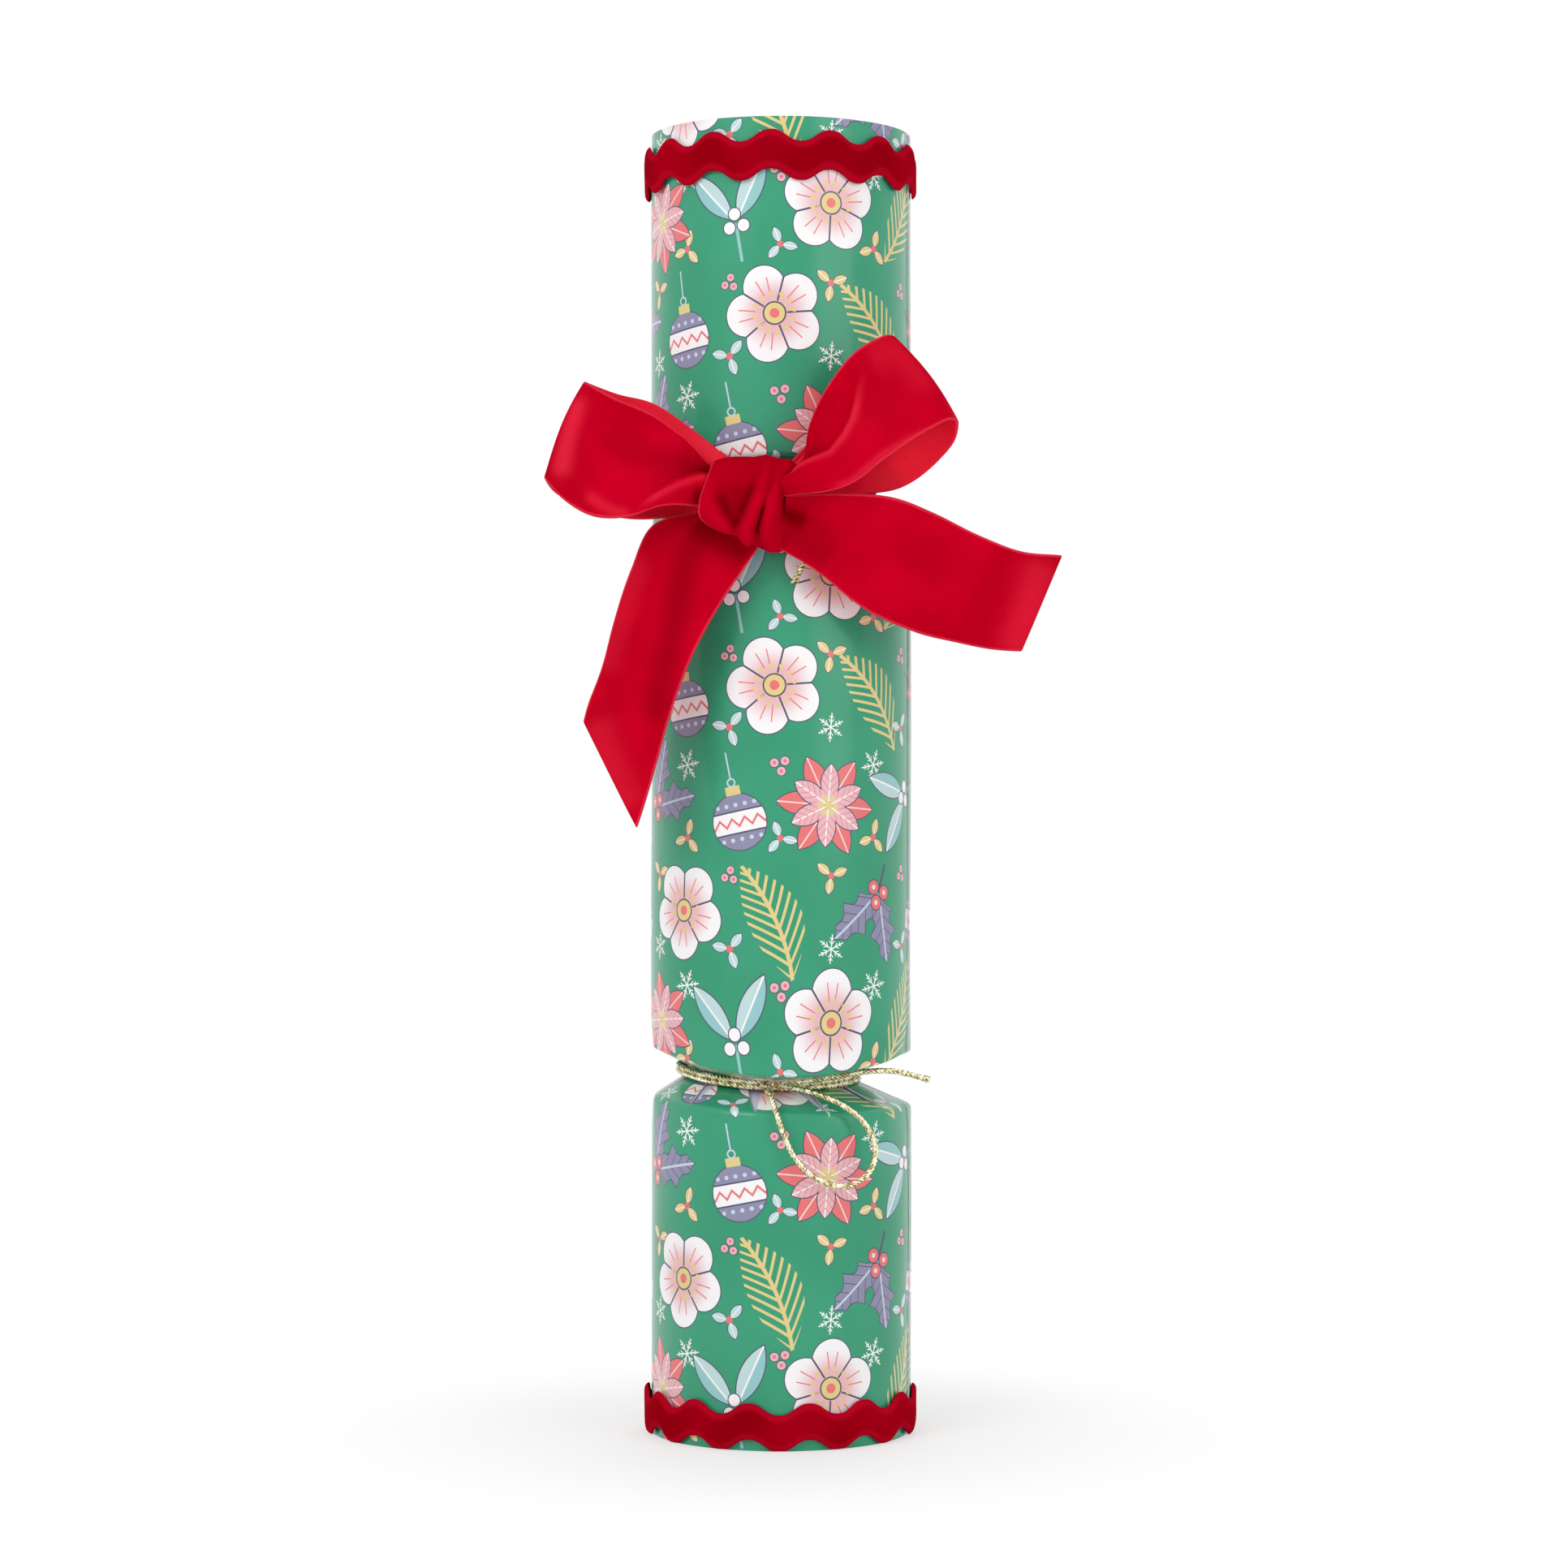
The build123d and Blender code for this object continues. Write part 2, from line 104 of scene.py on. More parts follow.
# %% Wire helper
class Wire:
    """An output socket of a material's nodes, with Python's operators as Math nodes."""

    def __init__(self, tree, socket=None):
        self.tree = tree
        self.socket = socket

    def node(self, kind, settings=None, values=None, out=0):
        """A new node, its settings set before its inputs. `out` is an output, or a tuple of outputs."""
        made = self.tree.nodes.new("ShaderNode" + kind)
        for name, value in (settings or {}).items():
            setattr(made, name, value)
        for key, value in (values or {}).items():
            if isinstance(value, Wire):
                self.tree.links.new(value.socket, made.inputs[key])
            else:
                made.inputs[key].default_value = value
        if isinstance(out, tuple):
            return [Wire(self.tree, made.outputs[key]) for key in out]
        return Wire(self.tree, made.outputs[out])

    def maths(self, operation, *terms):
        return self.node("Math", {"operation": operation}, dict(enumerate(terms)))

    def __add__(self, other):
        return self.maths("ADD", self, other)

    def __radd__(self, other):
        return self.maths("ADD", other, self)

    def __sub__(self, other):
        return self.maths("SUBTRACT", self, other)

    def __rsub__(self, other):
        return self.maths("SUBTRACT", other, self)

    def __mul__(self, other):
        return self.maths("MULTIPLY", self, other)

    def __rmul__(self, other):
        return self.maths("MULTIPLY", other, self)

    def __truediv__(self, other):
        return self.maths("DIVIDE", self, other)

    def __abs__(self):
        return self.maths("ABSOLUTE", self)

    def __lt__(self, other):
        return self.maths("LESS_THAN", self, other)

    def __gt__(self, other):
        return self.maths("GREATER_THAN", self, other)

    def __and__(self, other):
        return self.maths("MULTIPLY", self, other)

    def __or__(self, other):
        return self.maths("MAXIMUM", self, other)

    def sin(self):
        return self.maths("SINE", self)

    def cos(self):
        return self.maths("COSINE", self)

    def wrap(self, half):
        return self.maths("WRAP", self, half, -half)

    def length(self, other):
        square = self * self + other * other
        return square.maths("SQRT", square)

    def between(self, low, high):
        return self.node("MapRange", {"interpolation_type": "SMOOTHSTEP"}, {0: self, 1: low, 2: high})

    def colour(self, under, over):
        return self.node("Mix", {"data_type": "RGBA"}, {0: self, 6: under, 7: over}, 2)


print("wire operators ready")

# %% [markdown]
# ## Light and stage
# The cracker stands on a white sweep. Large softboxes left and right of the camera light it, and the room
# fills the shadows. Camera, glossy and transmission rays see a plain white room; the floor keeps the soft
# shadow and fades into that white with distance from the object.

# %% White rays
WHITE_RAYS = ("Is Camera Ray", "Is Glossy Ray", "Is Transmission Ray")


def sees_white(wire):
    """1 for the rays that should see the white room."""
    camera_ray, glossy_ray, transmission_ray = wire.node("LightPath", out=WHITE_RAYS)
    return camera_ray | glossy_ray | transmission_ray


print("white for", len(WHITE_RAYS), "kinds of rays")

# %% Room and floor
ROOM_FILL = 0.52
FLOOR_RADIUS = 1.6
SHADOW_START = 0.04
SHADOW_END = 0.125
SHADOW_SHARE = 0.45

world = bpy.data.worlds.new("room")
bpy.context.scene.world = world
world.use_nodes = True
room = Wire(world.node_tree)
background = world.node_tree.nodes["Background"]
background.inputs["Color"].default_value = (1, 1, 1, 1)
strength = sees_white(room) * (1 - ROOM_FILL) + ROOM_FILL
world.node_tree.links.new(strength.socket, background.inputs["Strength"])

bpy.ops.mesh.primitive_circle_add(vertices=96, radius=FLOOR_RADIUS, fill_type="NGON")
floor = bpy.context.object
floor.name = "floor"
sweep = bpy.data.materials.new("sweep")
sweep.use_nodes = True
sweep_wire = Wire(sweep.node_tree)
sweep_shader = sweep.node_tree.nodes["Principled BSDF"]
sweep_shader.inputs["Base Color"].default_value = (0.93, 0.93, 0.93, 1)
sweep_shader.inputs["Roughness"].default_value = 0.9
floor_place = sweep_wire.node("TexCoord", out="Object")
floor_distance = floor_place.node("VectorMath", {"operation": "LENGTH"}, {0: floor_place}, "Value")
near_object = 1 - floor_distance.between(SHADOW_START, SHADOW_END)
white = sees_white(sweep_wire) & (1 - SHADOW_SHARE * near_object)
glow = sweep_wire.node("Emission", None, {"Color": (1, 1, 1, 1), "Strength": 1.0})
lit_floor = Wire(sweep.node_tree, sweep_shader.outputs[0])
mixed = sweep_wire.node("MixShader", None, {0: white, 1: lit_floor, 2: glow})
sweep.node_tree.links.new(mixed.socket, sweep.node_tree.nodes["Material Output"].inputs["Surface"])
floor.data.materials.append(sweep)
print("floor of radius", FLOOR_RADIUS, "m, room fill", ROOM_FILL)

# %% Softboxes
def softbox(name, place, size, watts):
    """A square lamp that faces the middle of the cracker."""
    data = bpy.data.lights.new(name, "AREA")
    data.size = size
    data.energy = watts
    lamp = bpy.data.objects.new(name, data)
    lamp.location = place
    aim = Vector((0, 0, cracker_top / 2)) - Vector(place)
    lamp.rotation_euler = aim.to_track_quat("-Z", "Y").to_euler()
    bpy.context.scene.collection.objects.link(lamp)


softbox("key_softbox", (-0.75, -0.95, 0.95), 0.7, 7.0)
softbox("fill_softbox", (0.95, -0.85, 0.55), 0.8, 4.0)
softbox("back_softbox", (0.1, 0.9, 1.0), 0.7, 3.0)
print("lamps:", ", ".join(lamp.name for lamp in bpy.data.lights))

# %% [markdown]
# ## Inks
# The print uses a handful of flat inks on an emerald ground. They are written as a picture editor shows
# them.

# %% Inks
def srgb(red, green, blue):
    """A colour as a picture editor shows it, turned into the linear values that shaders use."""
    linear = [((c / 255 + 0.055) / 1.055) ** 2.4 if c > 10 else c / 255 / 12.92 for c in (red, green, blue)]
    return (*linear, 1.0)


INK = {
    "emerald": srgb(56, 160, 122),
    "deep_emerald": srgb(50, 154, 115),
    "slate": srgb(86, 88, 112),
    "lavender": srgb(146, 144, 174),
    "pale_lavender": srgb(206, 216, 236),
    "mustard": srgb(232, 210, 142),
    "pink": srgb(238, 186, 194),
    "blush": srgb(253, 222, 224),
    "coral": srgb(238, 120, 120),
    "white": srgb(253, 251, 252),
    "aqua": srgb(196, 224, 225),
    "teal": srgb(152, 204, 206),
}
print("inks:", ", ".join(INK))

# %% Finish helpers
GRAIN_SHARE = 0.4
GRAIN_HEIGHT = 0.3 * MM


def new_finish(name, **constants):
    """A material, a wire to draw on, and its Principled shader with constants on its sockets."""
    material = bpy.data.materials.new(name)
    material.use_nodes = True
    shader = material.node_tree.nodes["Principled BSDF"]
    for socket, value in constants.items():
        shader.inputs[socket.replace("_", " ")].default_value = value
    return material, Wire(material.node_tree), shader


def feed(shader, socket, wire):
    """Link a wire into one of the shader's sockets."""
    wire.tree.links.new(wire.socket, shader.inputs[socket])


def noise(wire, place, scale, detail=2.0):
    """Blender's noise at a place on the surface."""
    return wire.node("TexNoise", None, {"Vector": place, "Scale": scale, "Detail": detail})


def bump(wire, height, strength, distance):
    """A normal that follows a height."""
    return wire.node("Bump", None, {"Strength": strength, "Distance": distance, "Height": height})


def speckled(name, dark, light, scale, grain, roughness, strength=0.25):
    """A matt stuff with cloudy colour and a grainy surface."""
    material, wire, shader = new_finish(name, Roughness=roughness)
    place = wire.node("TexCoord", out="Object")
    cloud = noise(wire, place, scale, 3.0)
    fine = noise(wire, place, grain, 3.0)
    mottle = cloud * (1 - GRAIN_SHARE) + fine * GRAIN_SHARE
    feed(shader, "Base Color", mottle.between(0.3, 0.7).colour(dark, light))
    feed(shader, "Normal", bump(wire, fine, strength, GRAIN_HEIGHT))
    return material


print("finish helpers ready")

# %% [markdown]
# ## The print, motif by motif
# The wrap carries an all-over seasonal print. It could be an image, but here each motif is a formula: its
# distance from an outline decides what is filled, what is line and what is ground. The sheet's own UV map
# holds places on the flat card, so the motifs keep their shape around the tube and over the folds.
# `nearest` finds the closest copy of a motif on a repeating tile, so each motif is worked out only once.

# %% Tile and copies
TILE_WIDTH = pi * tube_radius / MM
TILE_HEIGHT = 106.0
UV_UNIT = 100 * MM
LINE = 0.22


def nearest(sheet, copies, tile):
    """x and y, in millimetres, in the frame of the closest of a motif's copies: (x, y, turn, size)."""
    best = None
    best_far = None
    half = (tile[0] / 2, tile[1] / 2, 1.0)
    other_half = (-tile[0] / 2, -tile[1] / 2, -1.0)
    for x, y, turn, size in copies:
        place = sheet.node("VectorMath", {"operation": "SUBTRACT"}, {0: sheet, 1: (x, y, 0)})
        place = place.node("VectorMath", {"operation": "WRAP"}, {0: place, 1: half, 2: other_half})
        turned = {"Vector": place, "Angle": -radians(turn)}
        place = place.node("VectorRotate", {"rotation_type": "Z_AXIS"}, turned)
        place = place.node("VectorMath", {"operation": "SCALE"}, {0: place, 3: 1 / size})
        far = place.node("VectorMath", {"operation": "LENGTH"}, {0: place}, "Value")
        if best is None:
            best, best_far = place, far
            continue
        nearer = far < best_far
        best = nearer.node("Mix", {"data_type": "VECTOR"}, {0: nearer, 4: best, 5: place}, 1)
        best_far = far.maths("MINIMUM", far, best_far)
    return best.node("SeparateXYZ", None, {0: best}, ("X", "Y"))


def petals(x, y, count, turn=0.0):
    """Distance along and aside of the closest of a flower's petals, and the distance from its middle."""
    middle = x.length(y)
    angle = y.maths("ARCTAN2", y, x)
    angle = abs((angle + turn).wrap(pi / count))
    return middle * angle.cos(), middle * angle.sin(), middle


def pointed(along, aside, start, end, width):
    """Distance from a leaf with two points: below zero inside."""
    half = (end - start) / 2
    bow = (half * half + width * width) / (2 * width)
    return (along - (start + end) / 2).length(abs(aside) + (bow - width)) - bow


def leaf_pair(x, y, lean):
    """Along and aside of the closer of two leaves that open like a V."""
    side = abs(y)
    return x * cos(lean) + side * sin(lean), side * cos(lean) - x * sin(lean)


def three_berries(x, y, back, apart, ahead, radius):
    """Distance from the closest of three berries: two side by side, and one ahead of them."""
    side = (x + back).length(abs(y) - apart)
    return side.maths("MINIMUM", side, (x - ahead).length(y)) - radius


def outlined(edge, colour):
    """A motif's colour with a dark line along its edge."""
    return (edge > -LINE).colour(colour, INK["slate"])


print("tile", round(TILE_WIDTH, 1), "by", TILE_HEIGHT, "mm")

# %% [markdown]
# Six larger motifs fill the tile: a winter rose, a star-leaved flower, holly, fir, mistletoe and a bauble.
# Each function returns its colour and the mask that it covers. The numbers in a motif are its drawing, in
# millimetres on the card.

# %% Flowers
def winter_rose(x, y):
    along, aside, middle = petals(x, y, 5)
    edge = (along - 5.2).length(aside) - 4.1
    seam = along * sin(pi / 5) - aside * cos(pi / 5)
    colour = middle.between(2.6, 7.6).colour(INK["pink"], INK["white"])
    vein = (abs(aside - along * 0.16) < 0.11) & (middle > 3.6) & (middle < 6.8)
    colour = vein.colour(colour, INK["coral"])
    line = ((abs(seam) < LINE * 0.8) & (middle > 2.3)) | (edge > -LINE)
    colour = line.colour(colour, INK["slate"])
    stem, cross, _ = petals(x, y, 12)
    stamen = ((stem - 3.7).length(cross) < 0.42) | ((cross < 0.1) & (middle < 3.7))
    colour = stamen.colour(colour, INK["mustard"])
    colour = (middle < 2.2).colour(colour, INK["slate"])
    colour = (middle < 1.9).colour(colour, INK["mustard"])
    colour = (middle < 0.9).colour(colour, INK["coral"])
    return colour, (edge < 0.0) | (middle < 2.2)


def star_flower(x, y):
    along, aside, _ = petals(x, y, 6, pi / 6)
    under = pointed(along, aside, 0.5, 10.4, 2.35)
    colour = outlined(under, (aside < 0.14).colour(INK["coral"], INK["blush"]))
    along, aside, middle = petals(x, y, 6)
    edge = pointed(along, aside, 0.2, 8.2, 2.0)
    top = (aside < 0.13).colour(INK["pink"], INK["white"])
    rib = (abs((along - aside * 1.1).wrap(0.75)) < 0.1) & (along > 2.2) & (along < 7.0)
    top = outlined(edge, rib.colour(top, INK["coral"]))
    colour = (edge < 0.0).colour(colour, top)
    stem, cross, _ = petals(x, y, 6, pi / 6)
    bead = ((stem - 1.45).length(cross) < 0.62) | (middle < 0.75)
    colour = bead.colour(colour, INK["mustard"])
    return colour, (edge < 0.0) | (under < 0.0) | bead


print("flowers:", winter_rose.__name__, star_flower.__name__)

# %% Leaves
def holly(x, y):
    x = x + 3.5
    along, aside = leaf_pair(x, y, 0.52)
    share = along / 13.5
    wave = abs((share * (3.5 * pi)).sin())
    edge = abs(aside) - (share * pi).sin() * (1 - 0.42 * wave) * 4.0
    colour = (abs((along - abs(aside) * 0.9).wrap(1.1)) < 0.1).colour(INK["lavender"], INK["slate"])
    colour = outlined(edge, (abs(aside) < 0.2).colour(colour, INK["pale_lavender"]))
    stalk = (abs(y) < 0.3) & (x < 0.0) & (x > -5.0)
    colour = stalk.colour(colour, INK["slate"])
    mask = ((edge < 0.0) & (x.length(y) < 14.5)) | stalk
    berry = three_berries(x, y, 0.1, 1.5, 2.3, 1.45)
    colour = (berry < 0.0).colour(colour, INK["slate"])
    colour = (berry < -0.22).colour(colour, INK["coral"])
    return (berry < -1.0).colour(colour, INK["blush"]), mask | (berry < 0.0)


def fir_sprig(x, y):
    side = abs(y - x * x * 0.014)
    needle = abs((x - side * 1.15).wrap(1.05)) < 0.36
    inside = side < 4.7 - x * x * 0.042
    stem = side < 0.34
    length = (x > -10.6) & (x < 10.4)
    return INK["mustard"], ((needle & inside) | stem) & length


def mistletoe(x, y):
    x = x + 1.7
    along, aside = leaf_pair(x, y, 0.6)
    edge = pointed(along, aside, 0.6, 12.0, 2.1)
    colour = (aside > 0.0).colour(INK["aqua"], INK["teal"])
    colour = outlined(edge, (abs(aside) < 0.16).colour(colour, INK["white"]))
    stalk = (abs(y) < 0.26) & (x < 0.0) & (x > -6.5)
    colour = stalk.colour(colour, INK["teal"])
    berry = three_berries(x, y, 0.6, 1.25, 1.5, 1.2)
    colour = (berry < 0.0).colour(colour, INK["slate"])
    colour = (berry < -0.2).colour(colour, INK["white"])
    return colour, (edge < 0.0) | stalk | (berry < 0.0)


print("leaves:", holly.__name__, fir_sprig.__name__, mistletoe.__name__)

# %% Bauble and small motifs
def bauble(x, y):
    y = y + 4.0
    edge = x.length(y) - 5.6
    zigzag = abs(x.wrap(1.3)) * 1.2 - 0.8
    colour = (abs(y) < 2.1).colour(INK["lavender"], INK["white"])
    colour = (abs(y - zigzag) < 0.32).colour(colour, INK["coral"])
    colour = (abs(abs(y) - 2.1) < 0.16).colour(colour, INK["slate"])
    spots = (x.wrap(0.95).length(abs(y) - 3.3) < 0.42) & (abs(y) > 2.4)
    colour = outlined(edge, spots.colour(colour, INK["pale_lavender"]))
    cap = (abs(x) < 1.5) & (y > 5.2) & (y < 6.9)
    colour = cap.colour(colour, INK["mustard"])
    ring = abs(x.length(y - 7.6) - 0.75) < 0.16
    thread = (abs(x) < 0.16) & (y > 8.3) & (y < 13.5)
    colour = (ring | thread).colour(colour, INK["pale_lavender"])
    return colour, (edge < 0.0) | cap | ring | thread


def snowflake(x, y):
    along, aside, _ = petals(x, y, 6)
    shape = (aside < 0.17) & (along < 4.1)
    for start, end in ((1.3, 2.3), (2.5, 3.2)):
        shape = shape | ((abs(aside - (along - start) * 0.8) < 0.17) & (along > start) & (along < end))
    return INK["white"], shape


def berry_trio(x, y):
    along, aside, _ = petals(x, y, 3)
    berry = (along - 1.5).length(aside) - 1.25
    colour = outlined(berry, INK["pink"])
    return (berry < -0.85).colour(colour, INK["coral"]), berry < 0.0


def three_leaves(x, y, ink):
    along, aside, middle = petals(x, y, 3)
    edge = pointed(along, aside, 0.4, 5.2, 1.4)
    colour = outlined(edge, (aside < 0.12).colour(ink, INK["white"]))
    return (middle < 0.9).colour(colour, INK["coral"]), (edge < 0.0) | (middle < 0.9)


def aqua_leaves(x, y):
    return three_leaves(x, y, INK["aqua"])


def mustard_leaves(x, y):
    return three_leaves(x, y, INK["mustard"])


print("bauble, and small motifs:", snowflake.__name__, berry_trio.__name__, three_leaves.__name__)

# %% [markdown]
# The large motifs stand in four rows on the tile, laid like bricks, each turned its own way and a little
# off the middle of its cell. Small ones fill the gaps between three large ones. Later motifs cover earlier
# ones, as inks do.

# %% Layout of the print
CELL_WIDTH = TILE_WIDTH / 4
CELL_HEIGHT = TILE_HEIGHT / 4
CELL_SWAY = 1.4
LARGE_MOTIFS = {
    fir_sprig: 1.4,
    mistletoe: 1.45,
    holly: 1.35,
    bauble: 1.25,
    star_flower: 1.25,
    winter_rose: 1.3,
}
PRINT_ROWS = [
    [(winter_rose, 15), (fir_sprig, 60), (star_flower, 10), (mistletoe, 100)],
    [(holly, 250), (bauble, -14), (winter_rose, -20), (fir_sprig, 115)],
    [(star_flower, 25), (mistletoe, 200), (holly, 40), (bauble, 12)],
    [(fir_sprig, 130), (holly, 330), (bauble, 8), (winter_rose, 40)],
]
SMALL_MOTIFS = {
    snowflake: [(1.0, 0.83, 10, 0.95), (0.5, 1.17, 25, 0.85)],
    berry_trio: [(2.0, 0.83, 40, 1.0), (1.5, 1.83, 80, 0.9)],
    aqua_leaves: [(1.5, 1.17, 50, 0.95), (2.0, 0.17, 110, 0.85)],
    mustard_leaves: [(0.5, 1.83, 20, 0.9), (1.0, 0.17, 75, 0.95)],
}


def large_copies(motif):
    """Where a large motif stands on the tile: x, y, turn and size."""
    copies = []
    for row, cells in enumerate(PRINT_ROWS):
        for column, (found, turn) in enumerate(cells):
            cell = len(cells) * row + column
            x = (column + 0.5 + 0.5 * (row % 2)) * CELL_WIDTH + CELL_SWAY * sin(7 * cell)
            y = (row + 0.5) * CELL_HEIGHT + CELL_SWAY * cos(5 * cell)
            if found is motif:
                copies.append((x, y, turn, LARGE_MOTIFS[motif]))
    return copies


printed_card, print_wire, print_shader = new_finish(
    "printed_card",
    Specular_IOR_Level=0.1,
    Coat_Weight=0.9,
    Coat_Roughness=0.2,
    Coat_IOR=1.35,
)
flat = print_wire.node("UVMap", {"uv_map": "flat_sheet"})
sheet = flat.node("VectorMath", {"operation": "SCALE"}, {0: flat, 3: UV_UNIT / MM})
paint = noise(sheet, sheet, 0.05, 1.0).between(0.3, 0.7).colour(INK["deep_emerald"], INK["emerald"])
for motif, cells in SMALL_MOTIFS.items():
    copies = [(x * CELL_WIDTH, y * CELL_HEIGHT, turn, size) for x, y, turn, size in cells]
    motif_colour, mask = motif(*nearest(sheet, copies, (2 * CELL_WIDTH, 2 * CELL_HEIGHT)))
    paint = mask.colour(paint, motif_colour)
for motif in LARGE_MOTIFS:
    motif_colour, mask = motif(*nearest(sheet, large_copies(motif), (TILE_WIDTH, TILE_HEIGHT)))
    paint = mask.colour(paint, motif_colour)
fibre = noise(sheet, sheet, 3.5, 3.0)
feed(print_shader, "Base Color", paint)
feed(print_shader, "Roughness", fibre * 0.1 + 0.36)
feed(print_shader, "Normal", bump(sheet, fibre, 0.12, 0.0002))
print("print:", len(printed_card.node_tree.nodes), "nodes")

# %% [markdown]
# ## The card wrap
# One sheet of coated card is rolled into the tube, and choked at two necks, where slits let the card fold
# in as a ring of flaps. Pulled, it tears at the barrel's two rims, so it is three pieces here. Each starts
# as what it is on the bench: a flat grid. Every vertex is then rolled to its place, and the flat places
# stay in the UV map.

# %% Rolling values
FLAPS = 11
FLAP_COLUMNS = 24
SLIT_COLUMN = 5
LAP_COLUMNS = 15
LAP_FADE = 9
SLIT_HALF_WIDTH = 1.9 * MM
SLIT_TAPER = 0.7
SLIT_TIP_SHARE = 0.03
CARD = 0.4 * MM
LAP_STEP = 0.42 * MM
BEND_STEPS = (0.25, 0.5, 0.75, 1.0)
SMOOTH_ANGLE = radians(50)
FRONT = -pi / 2
column_angle = 2 * pi / (FLAPS * FLAP_COLUMNS)
flap_half_angle = pi / FLAPS
first_slit_angle = radians(-2.745)
lap_angle = first_slit_angle - SLIT_COLUMN * column_angle
sheet_columns = FLAPS * FLAP_COLUMNS + LAP_COLUMNS
print("card of", sheet_columns, "columns, first slit in column", SLIT_COLUMN)

# %% Rolling helpers
def rounded_profile(corners, bend, longest):
    """Rows of a profile: straight runs of (radius, level), each inner corner rounded by a small bend."""
    points = [Vector(corner) for corner in corners]
    rows = [points[0]]
    for index in range(1, len(points)):
        corner = points[index]
        last = index == len(points) - 1
        into = (corner - points[index - 1]).normalized()
        run_end = corner if last else corner - into * bend
        run = run_end - rows[-1]
        steps = max(1, ceil(run.length / longest))
        rows += [rows[-1] + run * (step / steps) for step in range(1, steps + 1)]
        if not last:
            out = (points[index + 1] - corner).normalized()
            run_start = corner + out * bend
            for t in BEND_STEPS:
                rows.append(run_end * (1 - t) ** 2 + corner * (2 * t * (1 - t)) + run_start * t**2)
    return rows


def clamp(value):
    """A value held between 0 and 1."""
    return min(1.0, max(0.0, value))


def neck_share(radius):
    """0 on the tube and 1 at the neck."""
    return max(0.0, (tube_radius - radius) / (tube_radius - neck_radius))


def apply_modifier(piece, kind, **settings):
    """Add a modifier and apply it."""
    modifier = piece.modifiers.new(kind.lower(), kind)
    for name, value in settings.items():
        setattr(modifier, name, value)
    bpy.context.view_layer.objects.active = piece
    bpy.ops.object.modifier_apply(modifier=modifier.name)


def flat_grid(name, columns, rows, uv_name):
    """A flat grid, two units square, with its columns and rows as whole numbers in x and y."""
    bpy.ops.object.select_all(action="DESELECT")
    bpy.ops.mesh.primitive_grid_add(x_subdivisions=columns, y_subdivisions=rows, size=2)
    piece = bpy.context.object
    piece.name = name
    piece.data.name = name
    piece.data.uv_layers[0].name = uv_name
    for vertex in piece.data.vertices:
        vertex.co.x = round((vertex.co.x + 1) / 2 * columns)
        vertex.co.y = round((vertex.co.y + 1) / 2 * rows)
    return piece


def lay_uv(mesh, layer, spots):
    """Write each vertex's place on the flat sheet into a UV map."""
    for loop, spot in zip(mesh.loops, mesh.uv_layers[layer].data):
        spot.uv = spots[loop.vertex_index]


print("half-way to the neck, the share is", round(neck_share((tube_radius + neck_radius) / 2), 2))

# %% [markdown]
# The slits are edges of the grid that are split, and then drawn apart into narrow Vs as each flap closes on
# its own middle line. Near a fold the tube goes a little flat between the slits, and no two flaps lie quite
# alike. Faint dents keep the tube from looking machined: each is a wave with a depth, a count round the
# tube and a slant. The settling is a table by level, in millimetres up: at the left, at the right, and at
# the front and back.

# %% Settling
SETTLING = [
    (lower_fold - 22 * MM, 0, 0, 0),
    (lower_fold, 1.7, -0.5, -0.6),
    (lower_neck, 2.7, 0.4, -0.4),
    (barrel_bottom, 2.6, 1.2, -3.0),
    (barrel_bottom + 25 * MM, 0, 0, 0),
]


def settled(level, angle):
    """A level once the lower choke is pulled tight: up at the left, less at the right, down in front."""
    side = cos(angle)
    shifts = []
    for _, left, right, front in SETTLING:
        shifts.append(front + side * side * ((left + right) / 2 - front) - side * (left - right) / 2)
    return level + MM * float(np.interp(level, [row[0] for row in SETTLING], shifts))


print("the rim sags in front by", round((barrel_bottom - settled(barrel_bottom, FRONT)) / MM, 2), "mm")

# %% Roll the card
DENTS = [(0.1 * MM, 3, 40), (0.07 * MM, 7, -65)]
FACET_REACH = 9 * MM
FACET_DEPTH = 0.5 * MM
FLAP_DROOP = 0.45 * MM
FLAP_CURL = 0.35 * MM
DROOP_STEP = 12.9
DROOP_START = 4.1
SIDE_NUDGE = 0.3
NECK_LAP_LOSS = 0.5


def split_slits(piece, rows):
    """Split the grid along the slits, wherever the profile has left the tube."""
    mesh = piece.data
    open_rows = [neck_share(row.x) > SLIT_TIP_SHARE for row in rows]
    for kind in (mesh.vertices, mesh.edges, mesh.polygons):
        kind.foreach_set("select", [False] * len(kind))
    for edge in mesh.edges:
        one, two = (mesh.vertices[index].co for index in edge.vertices)
        on_slit = one.x == two.x and (one.x - SLIT_COLUMN) % FLAP_COLUMNS == 0
        edge.select = on_slit and open_rows[int(one.y)] and open_rows[int(two.y)]
    bpy.ops.object.mode_set(mode="EDIT")
    bpy.ops.mesh.select_mode(type="EDGE")
    bpy.ops.mesh.edge_split(type="EDGE")
    bpy.ops.object.mode_set(mode="OBJECT")


